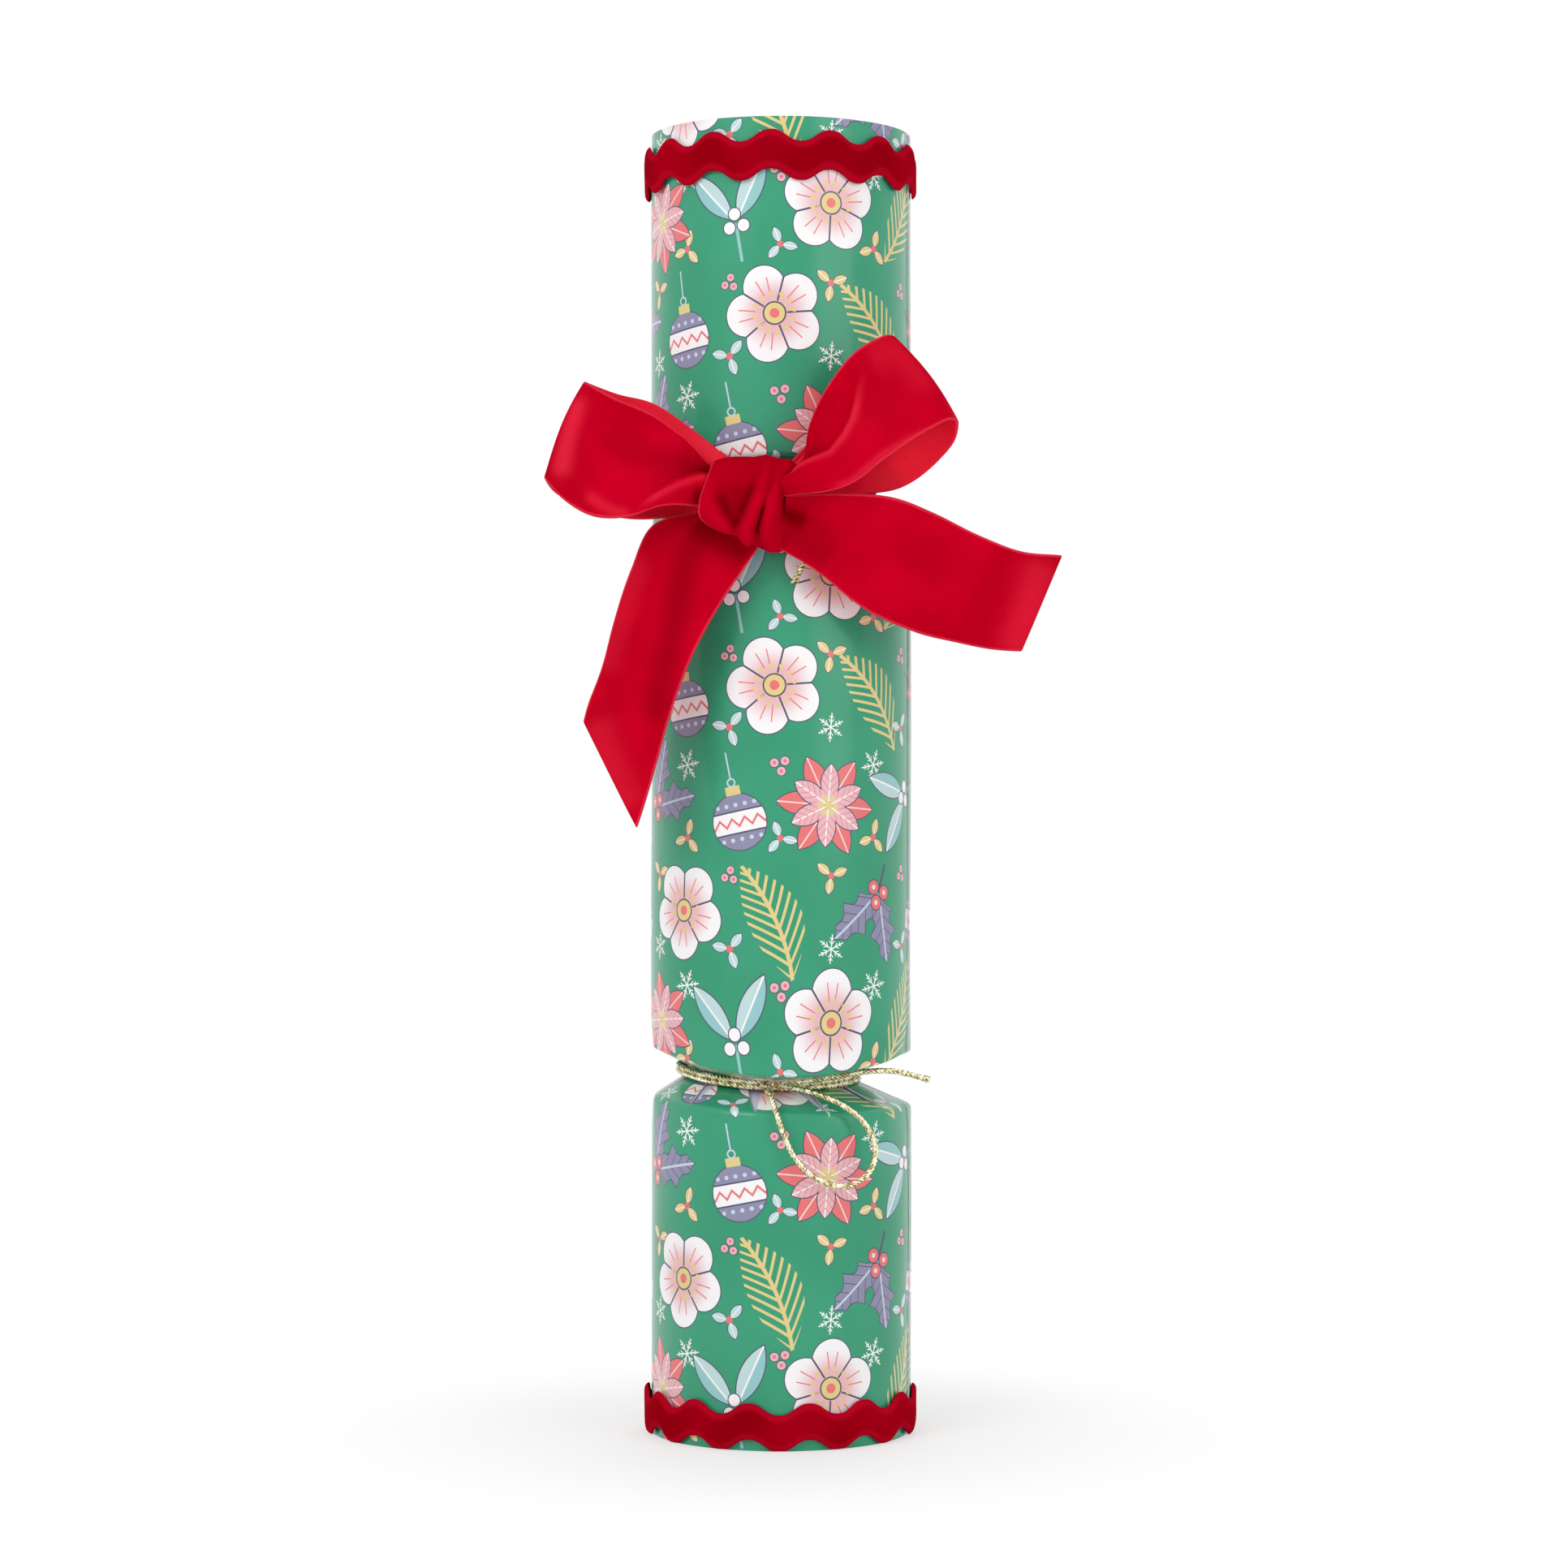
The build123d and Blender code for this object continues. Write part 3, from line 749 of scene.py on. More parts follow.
def roll_card(name, rows, first_v, fold_levels):
    """Roll a flat sheet round the tube: rows follow a profile, and the first columns lap over the last."""
    piece = flat_grid(name, sheet_columns, len(rows) - 1, "flat_sheet")
    split_slits(piece, rows)
    mesh = piece.data
    heights = [first_v]
    for one, two in zip(rows, rows[1:]):
        heights.append(heights[-1] + (two - one).length)
    side = [0.0] * len(mesh.vertices)
    for face in mesh.polygons:
        for index in face.vertices:
            side[index] += face.center.x - mesh.vertices[index].co.x
    flat = []
    for vertex in mesh.vertices:
        column, row = vertex.co.x, int(vertex.co.y)
        radius, level = rows[row]
        share = neck_share(radius)
        nudge = SIDE_NUDGE if side[vertex.index] > 0 else -SIDE_NUDGE
        flap = int((column + nudge - SLIT_COLUMN) // FLAP_COLUMNS)
        middle = lap_angle + (SLIT_COLUMN + (flap + 0.5) * FLAP_COLUMNS) * column_angle
        swing = lap_angle + column * column_angle - middle
        swing *= 1 - SLIT_HALF_WIDTH * share**SLIT_TAPER / radius / flap_half_angle
        angle = middle + swing
        off_middle = (swing / flap_half_angle) ** 2
        flat.append(((tube_radius * (middle - FRONT) + swing * radius) / UV_UNIT, heights[row] / UV_UNIT))
        lap = clamp((LAP_COLUMNS + LAP_FADE - column) / LAP_FADE)
        near_fold = max([0.0] + [1 - abs(level - fold) / FACET_REACH for fold in fold_levels])
        facet = FACET_DEPTH * near_fold**2 * (1 - off_middle) * (1 - share)
        dent = sum(depth * sin(waves * angle + slant * level) for depth, waves, slant in DENTS)
        reach = radius + LAP_STEP * lap * (1 - NECK_LAP_LOSS * share) + dent * (1 - share) - facet
        droop = share * (FLAP_DROOP * sin(DROOP_STEP * flap + DROOP_START) - FLAP_CURL * off_middle)
        height = settled(level, angle) + droop
        vertex.co = (neck_x * share + reach * cos(angle), reach * sin(angle), height)
    lay_uv(mesh, "flat_sheet", flat)
    return piece, heights[-1]


print("slits at each choke:", FLAPS, "and dents:", len(DENTS))

# %% Card with its thickness
def card_piece(name, rows, first_v, fold_levels, body, node):
    """A rolled sheet with its thickness: printed outside, plain on its reverse and at its cut edges."""
    piece, last_v = roll_card(name, rows, first_v, fold_levels)
    piece.data.materials.append(printed_card)
    piece.data.materials.append(plain_card)
    apply_modifier(piece, "SOLIDIFY", thickness=CARD, offset=-1, material_offset=1, material_offset_rim=1)
    bpy.ops.object.shade_smooth_by_angle(angle=SMOOTH_ANGLE)
    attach(piece, body)
    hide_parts(node)
    print(name, len(piece.data.polygons), "faces, sheet height", round((last_v - first_v) / MM, 1), "mm")
    return last_v


print("card of", CARD / MM, "mm")

# %% [markdown]
# The reverse of the card is uncoated: white, a little grey, with fibres that a close view shows.

# %% Plain card and the three wraps
plain_card = speckled("plain_card", srgb(226, 222, 226), srgb(240, 237, 236), 60.0, 900.0, 0.85, 0.3)

RIM_TUCK = 0.3 * MM
FOLD_BEND = 1.1 * MM
END_ROW_STEP = 6 * MM
BARREL_ROW_STEP = 8 * MM
lower_rows = rounded_profile(
    [
        (tube_radius, 0),
        (tube_radius, lower_fold),
        (neck_radius, lower_neck),
        (tube_radius - RIM_TUCK, barrel_bottom),
    ],
    FOLD_BEND,
    END_ROW_STEP,
)
barrel_rows = rounded_profile(
    [
        (tube_radius - RIM_TUCK, barrel_bottom),
        (tube_radius, barrel_bottom + RIM_TUCK),
        (tube_radius, barrel_top - RIM_TUCK),
        (tube_radius - RIM_TUCK, barrel_top),
    ],
    RIM_TUCK / 2,
    BARREL_ROW_STEP,
)
upper_rows = rounded_profile(
    [
        (tube_radius - RIM_TUCK, barrel_top),
        (neck_radius, upper_neck),
        (tube_radius, upper_fold),
        (tube_radius, cracker_top),
    ],
    FOLD_BEND,
    END_ROW_STEP,
)
rim_folds = [barrel_bottom, barrel_top]
v = card_piece("lower_end_card", lower_rows, 0.0, [lower_fold, barrel_bottom], "lower_end", "lower_end_wrap")
v = card_piece("barrel_card", barrel_rows, v, rim_folds, "barrel", "barrel_wrap")
v = card_piece("upper_end_card", upper_rows, v, [upper_fold, barrel_top], "upper_end", "upper_end_wrap")

# %% [markdown]
# Behind the slits stands a thin hourglass of lilac card just inside the flaps, softly creased where the cord
# draws it in. Its lilac is painted shade: it stands for the white inside of the card, seen in shadow through
# the slits. It is one grid again, rolled into a ring, closed along its seam and given a thickness.

# %% Linings of the necks
RING_COLUMNS = 132
LINING_ROW_STEP = 3 * MM
LINING_THICKNESS = 0.25 * MM
LINING_NECK = neck_radius - 1.8 * MM
LINING_END_EDGE = tube_radius - 1.3 * MM
LINING_RIM_EDGE = tube_radius - 1.85 * MM
LINING_END_REACH = 0.7 * MM
LINING_RIM_REACH = 0.2 * MM
LINING_CREASE = 0.35 * MM
# Painted shade: the lilac stands for white card in shadow behind the slits.
lilac_card = speckled("lilac_card", srgb(206, 200, 228), srgb(222, 217, 240), 70.0, 1100.0, 0.8)


def close_ring(piece):
    """Join the two ends of a rolled grid and turn its faces outwards."""
    bpy.context.view_layer.objects.active = piece
    bpy.ops.object.mode_set(mode="EDIT")
    bpy.ops.mesh.select_all(action="SELECT")
    bpy.ops.mesh.remove_doubles(threshold=0.01 * MM)
    bpy.ops.mesh.normals_make_consistent(inside=False)
    bpy.ops.object.mode_set(mode="OBJECT")


def rolled_ring(name, rows, material, thickness, necked=False):
    """A ring of card through rows of (radius, level), settled as the wrap is and creased at a neck."""
    piece = flat_grid(name, RING_COLUMNS, len(rows) - 1, "flat_sheet")
    for vertex in piece.data.vertices:
        radius, level = rows[int(vertex.co.y)]
        angle = FRONT + 2 * pi * vertex.co.x / RING_COLUMNS
        share = neck_share(radius) if necked else 0.0
        reach = radius + LINING_CREASE * share * cos(2 * FLAPS * angle)
        vertex.co = (neck_x * share + reach * cos(angle), reach * sin(angle), settled(level, angle))
    close_ring(piece)
    piece.data.materials.append(material)
    apply_modifier(piece, "SOLIDIFY", thickness=thickness, offset=-1)
    bpy.ops.object.shade_smooth_by_angle(angle=SMOOTH_ANGLE)
    print(name, len(piece.data.polygons), "faces")
    return piece


def neck_lining(end, fold, neck, rim):
    """The lining of one neck, from inside the end's fold to inside the barrel's rim."""
    up = 1 if rim > fold else -1
    corners = [
        (LINING_END_EDGE, fold - up * LINING_END_REACH),
        (LINING_NECK, neck),
        (LINING_RIM_EDGE, rim + up * LINING_RIM_REACH),
    ]
    rows = rounded_profile(corners[::up], FOLD_BEND, LINING_ROW_STEP)
    piece = rolled_ring(end + "_neck_lining", rows, lilac_card, LINING_THICKNESS, necked=True)
    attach(piece, end + "_end")


neck_lining("lower", lower_fold, lower_neck, barrel_bottom)
neck_lining("upper", upper_fold, upper_neck, barrel_top)

# %% [markdown]
# ## Gold cord
# The necks are tied with thin metallic cord: three glittering strands, twisted. A bevelled curve would be a
# smooth wire, so the cord's line is only a guide. It is a NURBS curve with the route's points as its
# control points. Points on it are read back, and three strands are wound round them.

# %% Gold finish
gold_cord, gold_wire, gold_shader = new_finish("gold_cord", Metallic=1.0)
gold_place = gold_wire.node("TexCoord", out="Object")
glitter = noise(gold_wire, gold_place, 1300.0, 1.0)
shade = noise(gold_wire, gold_place, 700.0, 2.0).between(0.38, 0.62)
gold_tone = shade.colour(srgb(172, 154, 102), srgb(246, 239, 202))
feed(gold_shader, "Base Color", glitter.between(0.54, 0.64).colour(gold_tone, srgb(255, 252, 232)))
feed(gold_shader, "Roughness", glitter * 0.3 + 0.16)
feed(gold_shader, "Normal", bump(gold_wire, glitter, 0.6, 0.0003))
print("gold finish:", len(gold_cord.node_tree.nodes), "nodes")

# %% Strand winder
STRANDS = 3
STRAND_RADIUS = 0.36 * MM
STRAND_OFFSET = 0.38 * MM
TWIST_PITCH = 3.2 * MM
STRAND_STEP = 0.22 * MM
FRAY = 0.25 * MM
FRAY_LENGTH = 3 * MM
STEEP = 0.9


def route_points(name, route):
    """Points on a smooth NURBS line whose control points are the route's points."""
    curve = bpy.data.curves.new(name, "CURVE")
    curve.dimensions = "3D"
    curve.resolution_u = 16
    spline = curve.splines.new("NURBS")
    spline.points.add(len(route) - 1)
    for point, place in zip(spline.points, route):
        point.co = (*place, 1)
    spline.order_u = 3
    spline.use_endpoint_u = True
    guide = bpy.data.objects.new(name, curve)
    line = bpy.data.meshes.new_from_object(guide)
    points = [vertex.co.copy() for vertex in line.vertices]
    bpy.data.objects.remove(guide)
    return points


def even_points(points, step):
    """The same line with evenly spaced points."""
    runs = [(two - one).length for one, two in zip(points, points[1:])]
    count = max(2, round(sum(runs) / step))
    spaced = []
    index, passed = 0, 0.0
    for number in range(count + 1):
        target = sum(runs) * number / count
        while index < len(runs) - 1 and passed + runs[index] < target:
            passed += runs[index]
            index += 1
        spaced.append(points[index].lerp(points[index + 1], min(1.0, (target - passed) / runs[index])))
    return spaced


def link_alone(piece):
    """Put a new object into the scene, as the only one selected."""
    bpy.context.scene.collection.objects.link(piece)
    bpy.ops.object.select_all(action="DESELECT")
    piece.select_set(True)
    bpy.context.view_layer.objects.active = piece


def wind_strands(name, lines, loose_ends=0.0):
    """One mesh of twisted strands along each line. Loose ends open out over the last few millimetres."""
    curve = bpy.data.curves.new(name, "CURVE")
    curve.dimensions = "3D"
    curve.bevel_depth = STRAND_RADIUS
    curve.bevel_resolution = 1
    curve.use_fill_caps = True
    for line in lines:
        spaced = even_points(line, STRAND_STEP)
        start = (spaced[1] - spaced[0]).normalized()
        side = Vector((0, 0, 1)) if abs(start.z) < STEEP else Vector((1, 0, 0))
        sides = []
        for one, two in zip(spaced, spaced[1:] + [spaced[-1] * 2 - spaced[-2]]):
            ahead = (two - one).normalized()
            side = (side - ahead * side.dot(ahead)).normalized()
            sides.append((side, ahead.cross(side)))
        for strand in range(STRANDS):
            spline = curve.splines.new("POLY")
            spline.points.add(len(spaced) - 1)
            for number, (point, (right, up)) in enumerate(zip(spaced, sides)):
                angle = 2 * pi * (number * STRAND_STEP / TWIST_PITCH + strand / STRANDS)
                left = (len(spaced) - 1 - number) * STRAND_STEP
                offset = STRAND_OFFSET + loose_ends * max(0.0, 1 - left / FRAY_LENGTH) ** 2
                place = point + (right * cos(angle) + up * sin(angle)) * offset
                spline.points[number].co = (*place, 1)
    link_alone(bpy.data.objects.new(name, curve))
    bpy.ops.object.convert(target="MESH")
    piece = bpy.context.object
    bpy.ops.object.shade_smooth()
    piece.data.materials.append(gold_cord)
    return piece


print("gold cord: strands of", STRAND_RADIUS / MM, "mm radius")

# %% [markdown]
# The free cords keep the routes of the solids: a loop and a tail at the lower neck, and one short tail that
# hangs out below the bow.

# %% Free cords
lower_front = Vector((0, -tube_radius, lower_neck))
upper_front = Vector((0, -tube_radius, upper_neck))
LOWER_LOOP = [
    (-2.7, 8.9, -0.2),
    (-2.3, 3.4, -1.4),
    (-1, -2, -5.8),
    (1, -2.6, -12),
    (4, -2.4, -17.8),
    (8.5, -2, -21.8),
    (14, -1.2, -23.8),
    (19, -0.2, -22.7),
    (22.4, 1.2, -19),
    (23, 2.4, -14),
    (20.6, 2.6, -9),
    (16.5, 1.6, -5.2),
    (11, 2, -2.4),
    (4.5, 5.6, -0.6),
    (-2, 8.9, 0.3),
]
LOWER_TAIL = [
    (-2.2, 8.6, 0.3),
    (5.4, 8, 0.8),
    (12.6, 10.1, 1.7),
    (19, 12.5, 2.7),
    (24.5, 13.6, 3.1),
    (30, 14, 2.6),
    (36, 14, 0.8),
]
UPPER_TAIL = [
    (-2.4, 8.8, -0.2),
    (3.4, 5.4, -0.4),
    (7, -0.8, -2.6),
    (8.2, -3.6, -9.4),
    (7.4, -3.4, -15.8),
    (5.4, -2.8, -20.6),
    (3.2, -2.4, -25),
]


def free_cord(end, kind, route, front, far_end):
    """A twisted cord along a route."""
    name = f"{end}_cord_{kind}"
    points = route_points(name + "_route", [front + Vector(point) * MM for point in route])
    piece = wind_strands(name, [points], 0.0 if far_end == "object" else FRAY)
    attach(piece, f"{end}_end")
    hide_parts(f"{end}_tie_{kind}")
    print(name, len(piece.data.polygons), "faces")


free_cord("lower", "loop", LOWER_LOOP, lower_front, far_end="object")
free_cord("lower", "tail", LOWER_TAIL, lower_front, far_end="bare")
free_cord("upper", "tail", UPPER_TAIL, upper_front, far_end="bare")

# %% [markdown]
# Three turns of the same cord bed into each groove. The two outer turns lie side by side, the third nests
# behind them, and a small overhand knot, drawn as a trefoil, holds them at the front. No turn is quite
# level: each has its radius, height, start and sway.

# %% Tied turns
OUTER_TURN = 22.15 * MM
INNER_TURN = 21.11 * MM
TURN_SPACING = 1.2 * MM
TURN_STEPS = 96
TURNS = [
    (OUTER_TURN, TURN_SPACING / 2, 0.1, 0.12 * MM),
    (OUTER_TURN, -TURN_SPACING / 2, -0.2, 0.15 * MM),
    (INNER_TURN, 0.0, 0.4, 0.05 * MM),
]
TREFOIL_SIZE = 0.48 * MM
TREFOIL_STAND = 0.7 * MM
TREFOIL_DEPTH = 1.2
TREFOIL_STEPS = 60


def turn_line(level, radius, height, start, sway):
    """One nearly level turn of cord round a neck."""
    line = []
    for step in range(TURN_STEPS + 1):
        angle = FRONT + start + 2 * pi * step / TURN_STEPS
        rise = settled(level, angle) + (height + sway * sin(3 * angle + start))
        line.append(Vector((neck_x + radius * cos(angle), radius * sin(angle), rise)))
    return line


def trefoil_line(level):
    """A small overhand knot at the front of the turns."""
    middle = Vector((neck_x, -OUTER_TURN - TREFOIL_STAND, settled(level, FRONT)))
    line = []
    for step in range(TREFOIL_STEPS + 1):
        t = 2 * pi * step / TREFOIL_STEPS
        across = sin(t) + 2 * sin(2 * t)
        up = cos(t) - 2 * cos(2 * t)
        line.append(middle + Vector((across, sin(3 * t) * TREFOIL_DEPTH, up)) * TREFOIL_SIZE)
    return line


for end, level in (("lower", lower_neck), ("upper", upper_neck)):
    lines = [turn_line(level, *turn) for turn in TURNS]
    turns = wind_strands(end + "_cord_turns", lines + [trefoil_line(level)])
    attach(turns, end + "_end")
    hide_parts(end + "_choke_tie")
    print(turns.name, len(turns.data.polygons), "faces")

# %% [markdown]
# ## Velvet
# The trim and the bow are velvet: short pile on a woven base, deep red where you look into the pile and
# paler where it is seen from the side, with a thin pale band along each edge: on the ribbon a woven edge
# with painted sheen on it, on the trim painted sheen where its rounded edges catch the light. Sheen gives
# the paler rims, a fine noise gives the pile, and a slow noise gives the patches where the pile has been
# stroked.
# Each velvet mesh has a UV map, `weave`: x runs along the ribbon, and y from 0 to 1 across it.
# The bow's meshes also have a number per vertex for painted light and shade: above 0 it paints the velvet
# lighter, a painted highlight; below 0 it paints it darker, painted shade in creases and on parts in shadow.
# Where a mesh has no such number, the shader reads 0.

# %% Velvet finish
# Colours of painted shade and painted highlight on the velvet.
PAINTED_SHADE = srgb(120, 0, 6)
PAINTED_HIGHLIGHT = srgb(236, 40, 66)
PILE_SCALE = 2600.0
PILE_HEIGHT = 0.4 * MM
PILE_SHARE = 0.35
STROKED_SCALE = 55.0
SELVEDGE_AND_SHEEN_SHARE = 0.7
SELVEDGE_AND_SHEEN_RAGGED = 0.6
SELVEDGE_AND_SHEEN_SOFT = 0.4


def with_painted_light(wire, tone, shade_colour, highlight_colour):
    """A tone with painted shade and painted highlight, from the mesh's per-vertex number of painted light.
    """
    painted_light = wire.node("Attribute", {"attribute_name": "painted_light"}, out="Fac")
    tone = painted_light.between(0.0, 1.0).colour(tone, highlight_colour)
    return (0 - painted_light).between(0.0, 1.0).colour(tone, shade_colour)


def velvet(name, deep, bright, selvedge_and_sheen, width, selvedge_and_sheen_width):
    """Velvet of a width, with a pale band along both edges: a woven edge, and painted sheen. Both widths are
    in millimetres.
    """
    material, wire, shader = new_finish(
        name,
        Roughness=0.9,
        Specular_IOR_Level=0.0,
        Sheen_Weight=0.3,
        Sheen_Roughness=0.3,
        Sheen_Tint=srgb(255, 46, 74),
    )
    place = wire.node("TexCoord", out="Object")
    weave = wire.node("UVMap", {"uv_map": "weave"})
    across = wire.node("SeparateXYZ", None, {0: weave}, "Y")
    pile = noise(wire, place, PILE_SCALE)
    stroked = noise(wire, place, STROKED_SCALE).between(0.3, 0.72)
    tone = stroked.colour(deep, bright)
    tone = (pile.between(0.35, 0.75) * PILE_SHARE).colour(tone, bright)
    tone = with_painted_light(wire, tone, PAINTED_SHADE, PAINTED_HIGHLIGHT)
    from_edge = (0.5 - abs(across - 0.5)) * width + (pile - 0.5) * SELVEDGE_AND_SHEEN_RAGGED
    edge = 1 - from_edge.between(selvedge_and_sheen_width * SELVEDGE_AND_SHEEN_SOFT, selvedge_and_sheen_width)
    feed(shader, "Base Color", (edge * SELVEDGE_AND_SHEEN_SHARE).colour(tone, selvedge_and_sheen))
    feed(shader, "Normal", bump(wire, pile, 0.35, PILE_HEIGHT))
    return material


# The ribbon's pale band is its woven edge with painted sheen on it; the trim's wider pale band is painted
# sheen where its rounded edges catch the light.
ribbon_velvet = velvet("ribbon_velvet", srgb(184, 0, 26), srgb(207, 1, 37), srgb(238, 56, 80), 25.0, 0.8)
trim_velvet = velvet("trim_velvet", srgb(146, 0, 15), srgb(171, 0, 24), srgb(190, 10, 38), 9.0, 2.4)
print("velvet for ribbon and trim")

# %% Ribbon's reverse
ribbon_reverse, reverse_wire, reverse_shader = new_finish(
    "ribbon_reverse",
    Roughness=0.5,
    Specular_IOR_Level=0.15,
    Sheen_Weight=0.2,
    Sheen_Tint=srgb(255, 70, 96),
)
reverse_uv = reverse_wire.node("UVMap", {"uv_map": "weave"})
twill = reverse_wire.node(
    "TexWave",
    {"wave_type": "BANDS", "bands_direction": "DIAGONAL"},
    {"Vector": reverse_uv, "Scale": 1.6, "Distortion": 0.4},
)
reverse_cloud = noise(reverse_wire, reverse_wire.node("TexCoord", out="Object"), 140.0)
reverse_tone = reverse_cloud.colour(srgb(222, 8, 42), srgb(234, 20, 54))
# Painted shade and painted highlight on the reverse too, darker or lighter by the bow's per-vertex number.
reverse_tone = with_painted_light(reverse_wire, reverse_tone, srgb(150, 0, 14), srgb(255, 22, 56))
feed(reverse_shader, "Base Color", reverse_tone)
feed(reverse_shader, "Normal", bump(reverse_wire, twill, 0.2, 0.0002))
print("reverse of the ribbon:", len(ribbon_reverse.node_tree.nodes), "nodes")

# %% [markdown]
# ## Wavy trim
# A band of wavy velvet trim is glued round each rim. It is a grid again, rolled round the tube: its middle
# line is a wave, its section a soft pillow that stands proud of the card.

# %% Trim bands
TRIM_WAVES = 14
TRIM_SWING = 1.4 * MM
TRIM_THICKNESS = 1.4 * MM
TRIM_ROUNDING = 0.3 * MM
TRIM_TAPE = 0.4 * MM
TRIM_FLUTTER = 0.12 * MM
TRIM_FULLNESS = 0.25
TRIM_PILLOW = 6
TRIM_EDGE_SHARE = 0.3
TRIM_PEAK = {"lower": radians(-77.6), "upper": radians(-94.0)}
TRIM_ROWS = 12
TRIM_COLUMNS = TRIM_WAVES * 18


def trim_band(end):
    """One wavy band, in the room of its solid."""
    low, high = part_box(end + "_rickrack")
    level = (low.z + high.z) / 2
    half = (high.z - low.z) / 2 - TRIM_SWING + TRIM_ROUNDING
    outer = high.x
    inner = outer - TRIM_THICKNESS
    piece = flat_grid(end + "_trim_band", TRIM_COLUMNS, TRIM_ROWS, "weave")
    flat = []
    for vertex in piece.data.vertices:
        angle = FRONT + 2 * pi * vertex.co.x / TRIM_COLUMNS
        share = vertex.co.y / TRIM_ROWS
        flat.append((angle * outer / MM, share))
        across = 2 * share - 1
        wave = cos(TRIM_WAVES * (angle - TRIM_PEAK[end]))
        rounded = wave * (1 + TRIM_FULLNESS - TRIM_FULLNESS * wave * wave)
        pillow = sqrt(max(0.0, 1 - across**TRIM_PILLOW))
        lift = TRIM_FLUTTER * sin(TRIM_WAVES * angle * 2 + 1) * across
        reach = inner + (outer - inner) * (TRIM_EDGE_SHARE + (1 - TRIM_EDGE_SHARE) * pillow) + lift
        height = max(0.0, level + TRIM_SWING * rounded + half * across)
        vertex.co = (reach * cos(angle), reach * sin(angle), height)
    lay_uv(piece.data, "weave", flat)
    close_ring(piece)
    piece.data.materials.append(trim_velvet)
    apply_modifier(piece, "SOLIDIFY", thickness=TRIM_TAPE, offset=-1)
    apply_modifier(piece, "SUBSURF", levels=1, render_levels=1)
    bpy.ops.object.shade_smooth()
    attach(piece, end + "_end")
    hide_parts(end + "_rickrack")
    print(piece.name, len(piece.data.polygons), "faces")


trim_band("lower")
trim_band("upper")

# %% [markdown]
# ## The bow
# The bow is one velvet ribbon, 25 mm wide: two loops, two tails, a knot and the part that goes round the
# neck. Cloth simulation would let it flop anywhere, and this bow was arranged by hand, so its loops and
# tails follow stations: a middle point, the direction of the ribbon's width there, and how much of the
# width is spread out. Between stations the ribbon is a smooth curve, and where it is gathered the spare
# width goes into pleats.

# %% Ribbon stations
RIBBON_WIDTH = 25 * MM
RIBBON_THICKNESS = 1.0 * MM
LEFT_LOOP = [
    (-14, -6.5, -3.2, 69, 9, 0.34),
    (-25, -11.6, 1.3, 72, 8, 0.72),
    (-33.5, -13, 2.6, 78, 4, 1.03),
    (-42, -12, 4.6, 79, 4, 1.15),
    (-48.2, -9, 8.4, 73, 4, 1.1),
    (-51.3, -5, 11.5, 67, 2, 1.0),
    (-49.8, 0, 10, 71, 2, 1.09),
    (-43, 2, 7.0, 74, 2, 1.14),
    (-33.5, 2.5, 4.6, 77, 3, 1.14),
    (-24.5, 0.5, 1.6, 75, 7, 0.92),
    (-15, -3.5, -1.8, 70, 13, 0.6),
]
RIGHT_LOOP = [
    (-1.5, -7, -0.8, 70, 10, 0.3),
    (4.2, -13.2, 1.0, 82, 10, 0.43),
    (11.5, -13.6, 5.8, 117, 7, 0.75),
    (18.3, -15, 13.1, 122, 3, 0.91),
    (26, -14, 19.8, 126, 2, 1.0),
    (33.2, -11.5, 23.4, 127, 0, 1.0),
    (34.8, -8, 23.1, 127, -2, 1.0),
    (33.6, -4.5, 20.6, 125, -3, 1.12),
    (30, -2.5, 17, 123, -4, 1.18),
    (22.5, -1.5, 10, 117, 0, 1.09),
    (13.5, -2.5, 4.5, 111, 6, 0.74),
    (1, -4.5, -2, 92, 20, 0.37),
]
LEFT_TAIL = [
    (-11.5, -7, -12, 147, 4, 0.62),
    (-21.2, -5.5, -19, 137, 6, 0.97),
    (-27.5, -4.5, -30.5, 133, 9, 0.97),
    (-31.5, -4, -41, 139, 13, 0.89),
    (-34.5, -3.5, -50.5, 139, 16, 0.87),
    (-40.5, -3, -70.5, 117, 14, 1.18),
]
RIGHT_TAIL = [
    (0, -9, -10.4, 77, -4, 0.5),
    (12, -10, -13.5, 73, -9, 0.79),
    (23, -8.5, -18, 76, -8, 1.09),
    (34, -6.5, -22.5, 81, -8, 1.15),
    (45, -4, -26.5, 77, -7, 1.04),
    (54, -2.5, -29, 72, -5, 0.98),
    (62.4, -1.5, -29.6, 67, 0, 1.0),
]
print("stations:", len(LEFT_LOOP), len(RIGHT_LOOP), len(LEFT_TAIL), len(RIGHT_TAIL))

# %% Smooth curves through stations
def smooth_rows(stations, step, closed=False):
    """Evenly spaced rows on a smooth curve through stations. The first three columns are a place in mm."""
    rows = np.array(stations, float)
    if closed:
        rows = np.vstack([rows[-2:], rows, rows[:3]])
    times = np.concatenate([[0], np.cumsum(np.linalg.norm(np.diff(rows[:, :3], axis=0), axis=1))])
    gaps = np.diff(times)[:, None]
    slopes = np.diff(rows, axis=0) / gaps
    inner = (slopes[:-1] * gaps[1:] + slopes[1:] * gaps[:-1]) / (gaps[1:] + gaps[:-1])
    tangents = np.vstack([slopes[:1], inner, slopes[-1:]])
    first, last = (times[2], times[-3]) if closed else (times[0], times[-1])
    wanted = np.linspace(first, last, round((last - first) / step) + 1)
    made = []
    for time in wanted[:-1] if closed else wanted:
        index = min(max(int(np.searchsorted(times, time, side="right")) - 1, 0), len(times) - 2)
        gap = times[index + 1] - times[index]
        t = (time - times[index]) / gap
        made.append(
            rows[index] * (1 + 2 * t) * (1 - t) ** 2
            + tangents[index] * gap * t * (1 - t) ** 2
            + rows[index + 1] * t**2 * (3 - 2 * t)
            + tangents[index + 1] * gap * t**2 * (t - 1)
        )
    return np.array(made)


print("left loop, a row for each millimetre:", len(smooth_rows(LEFT_LOOP, 1.0)))
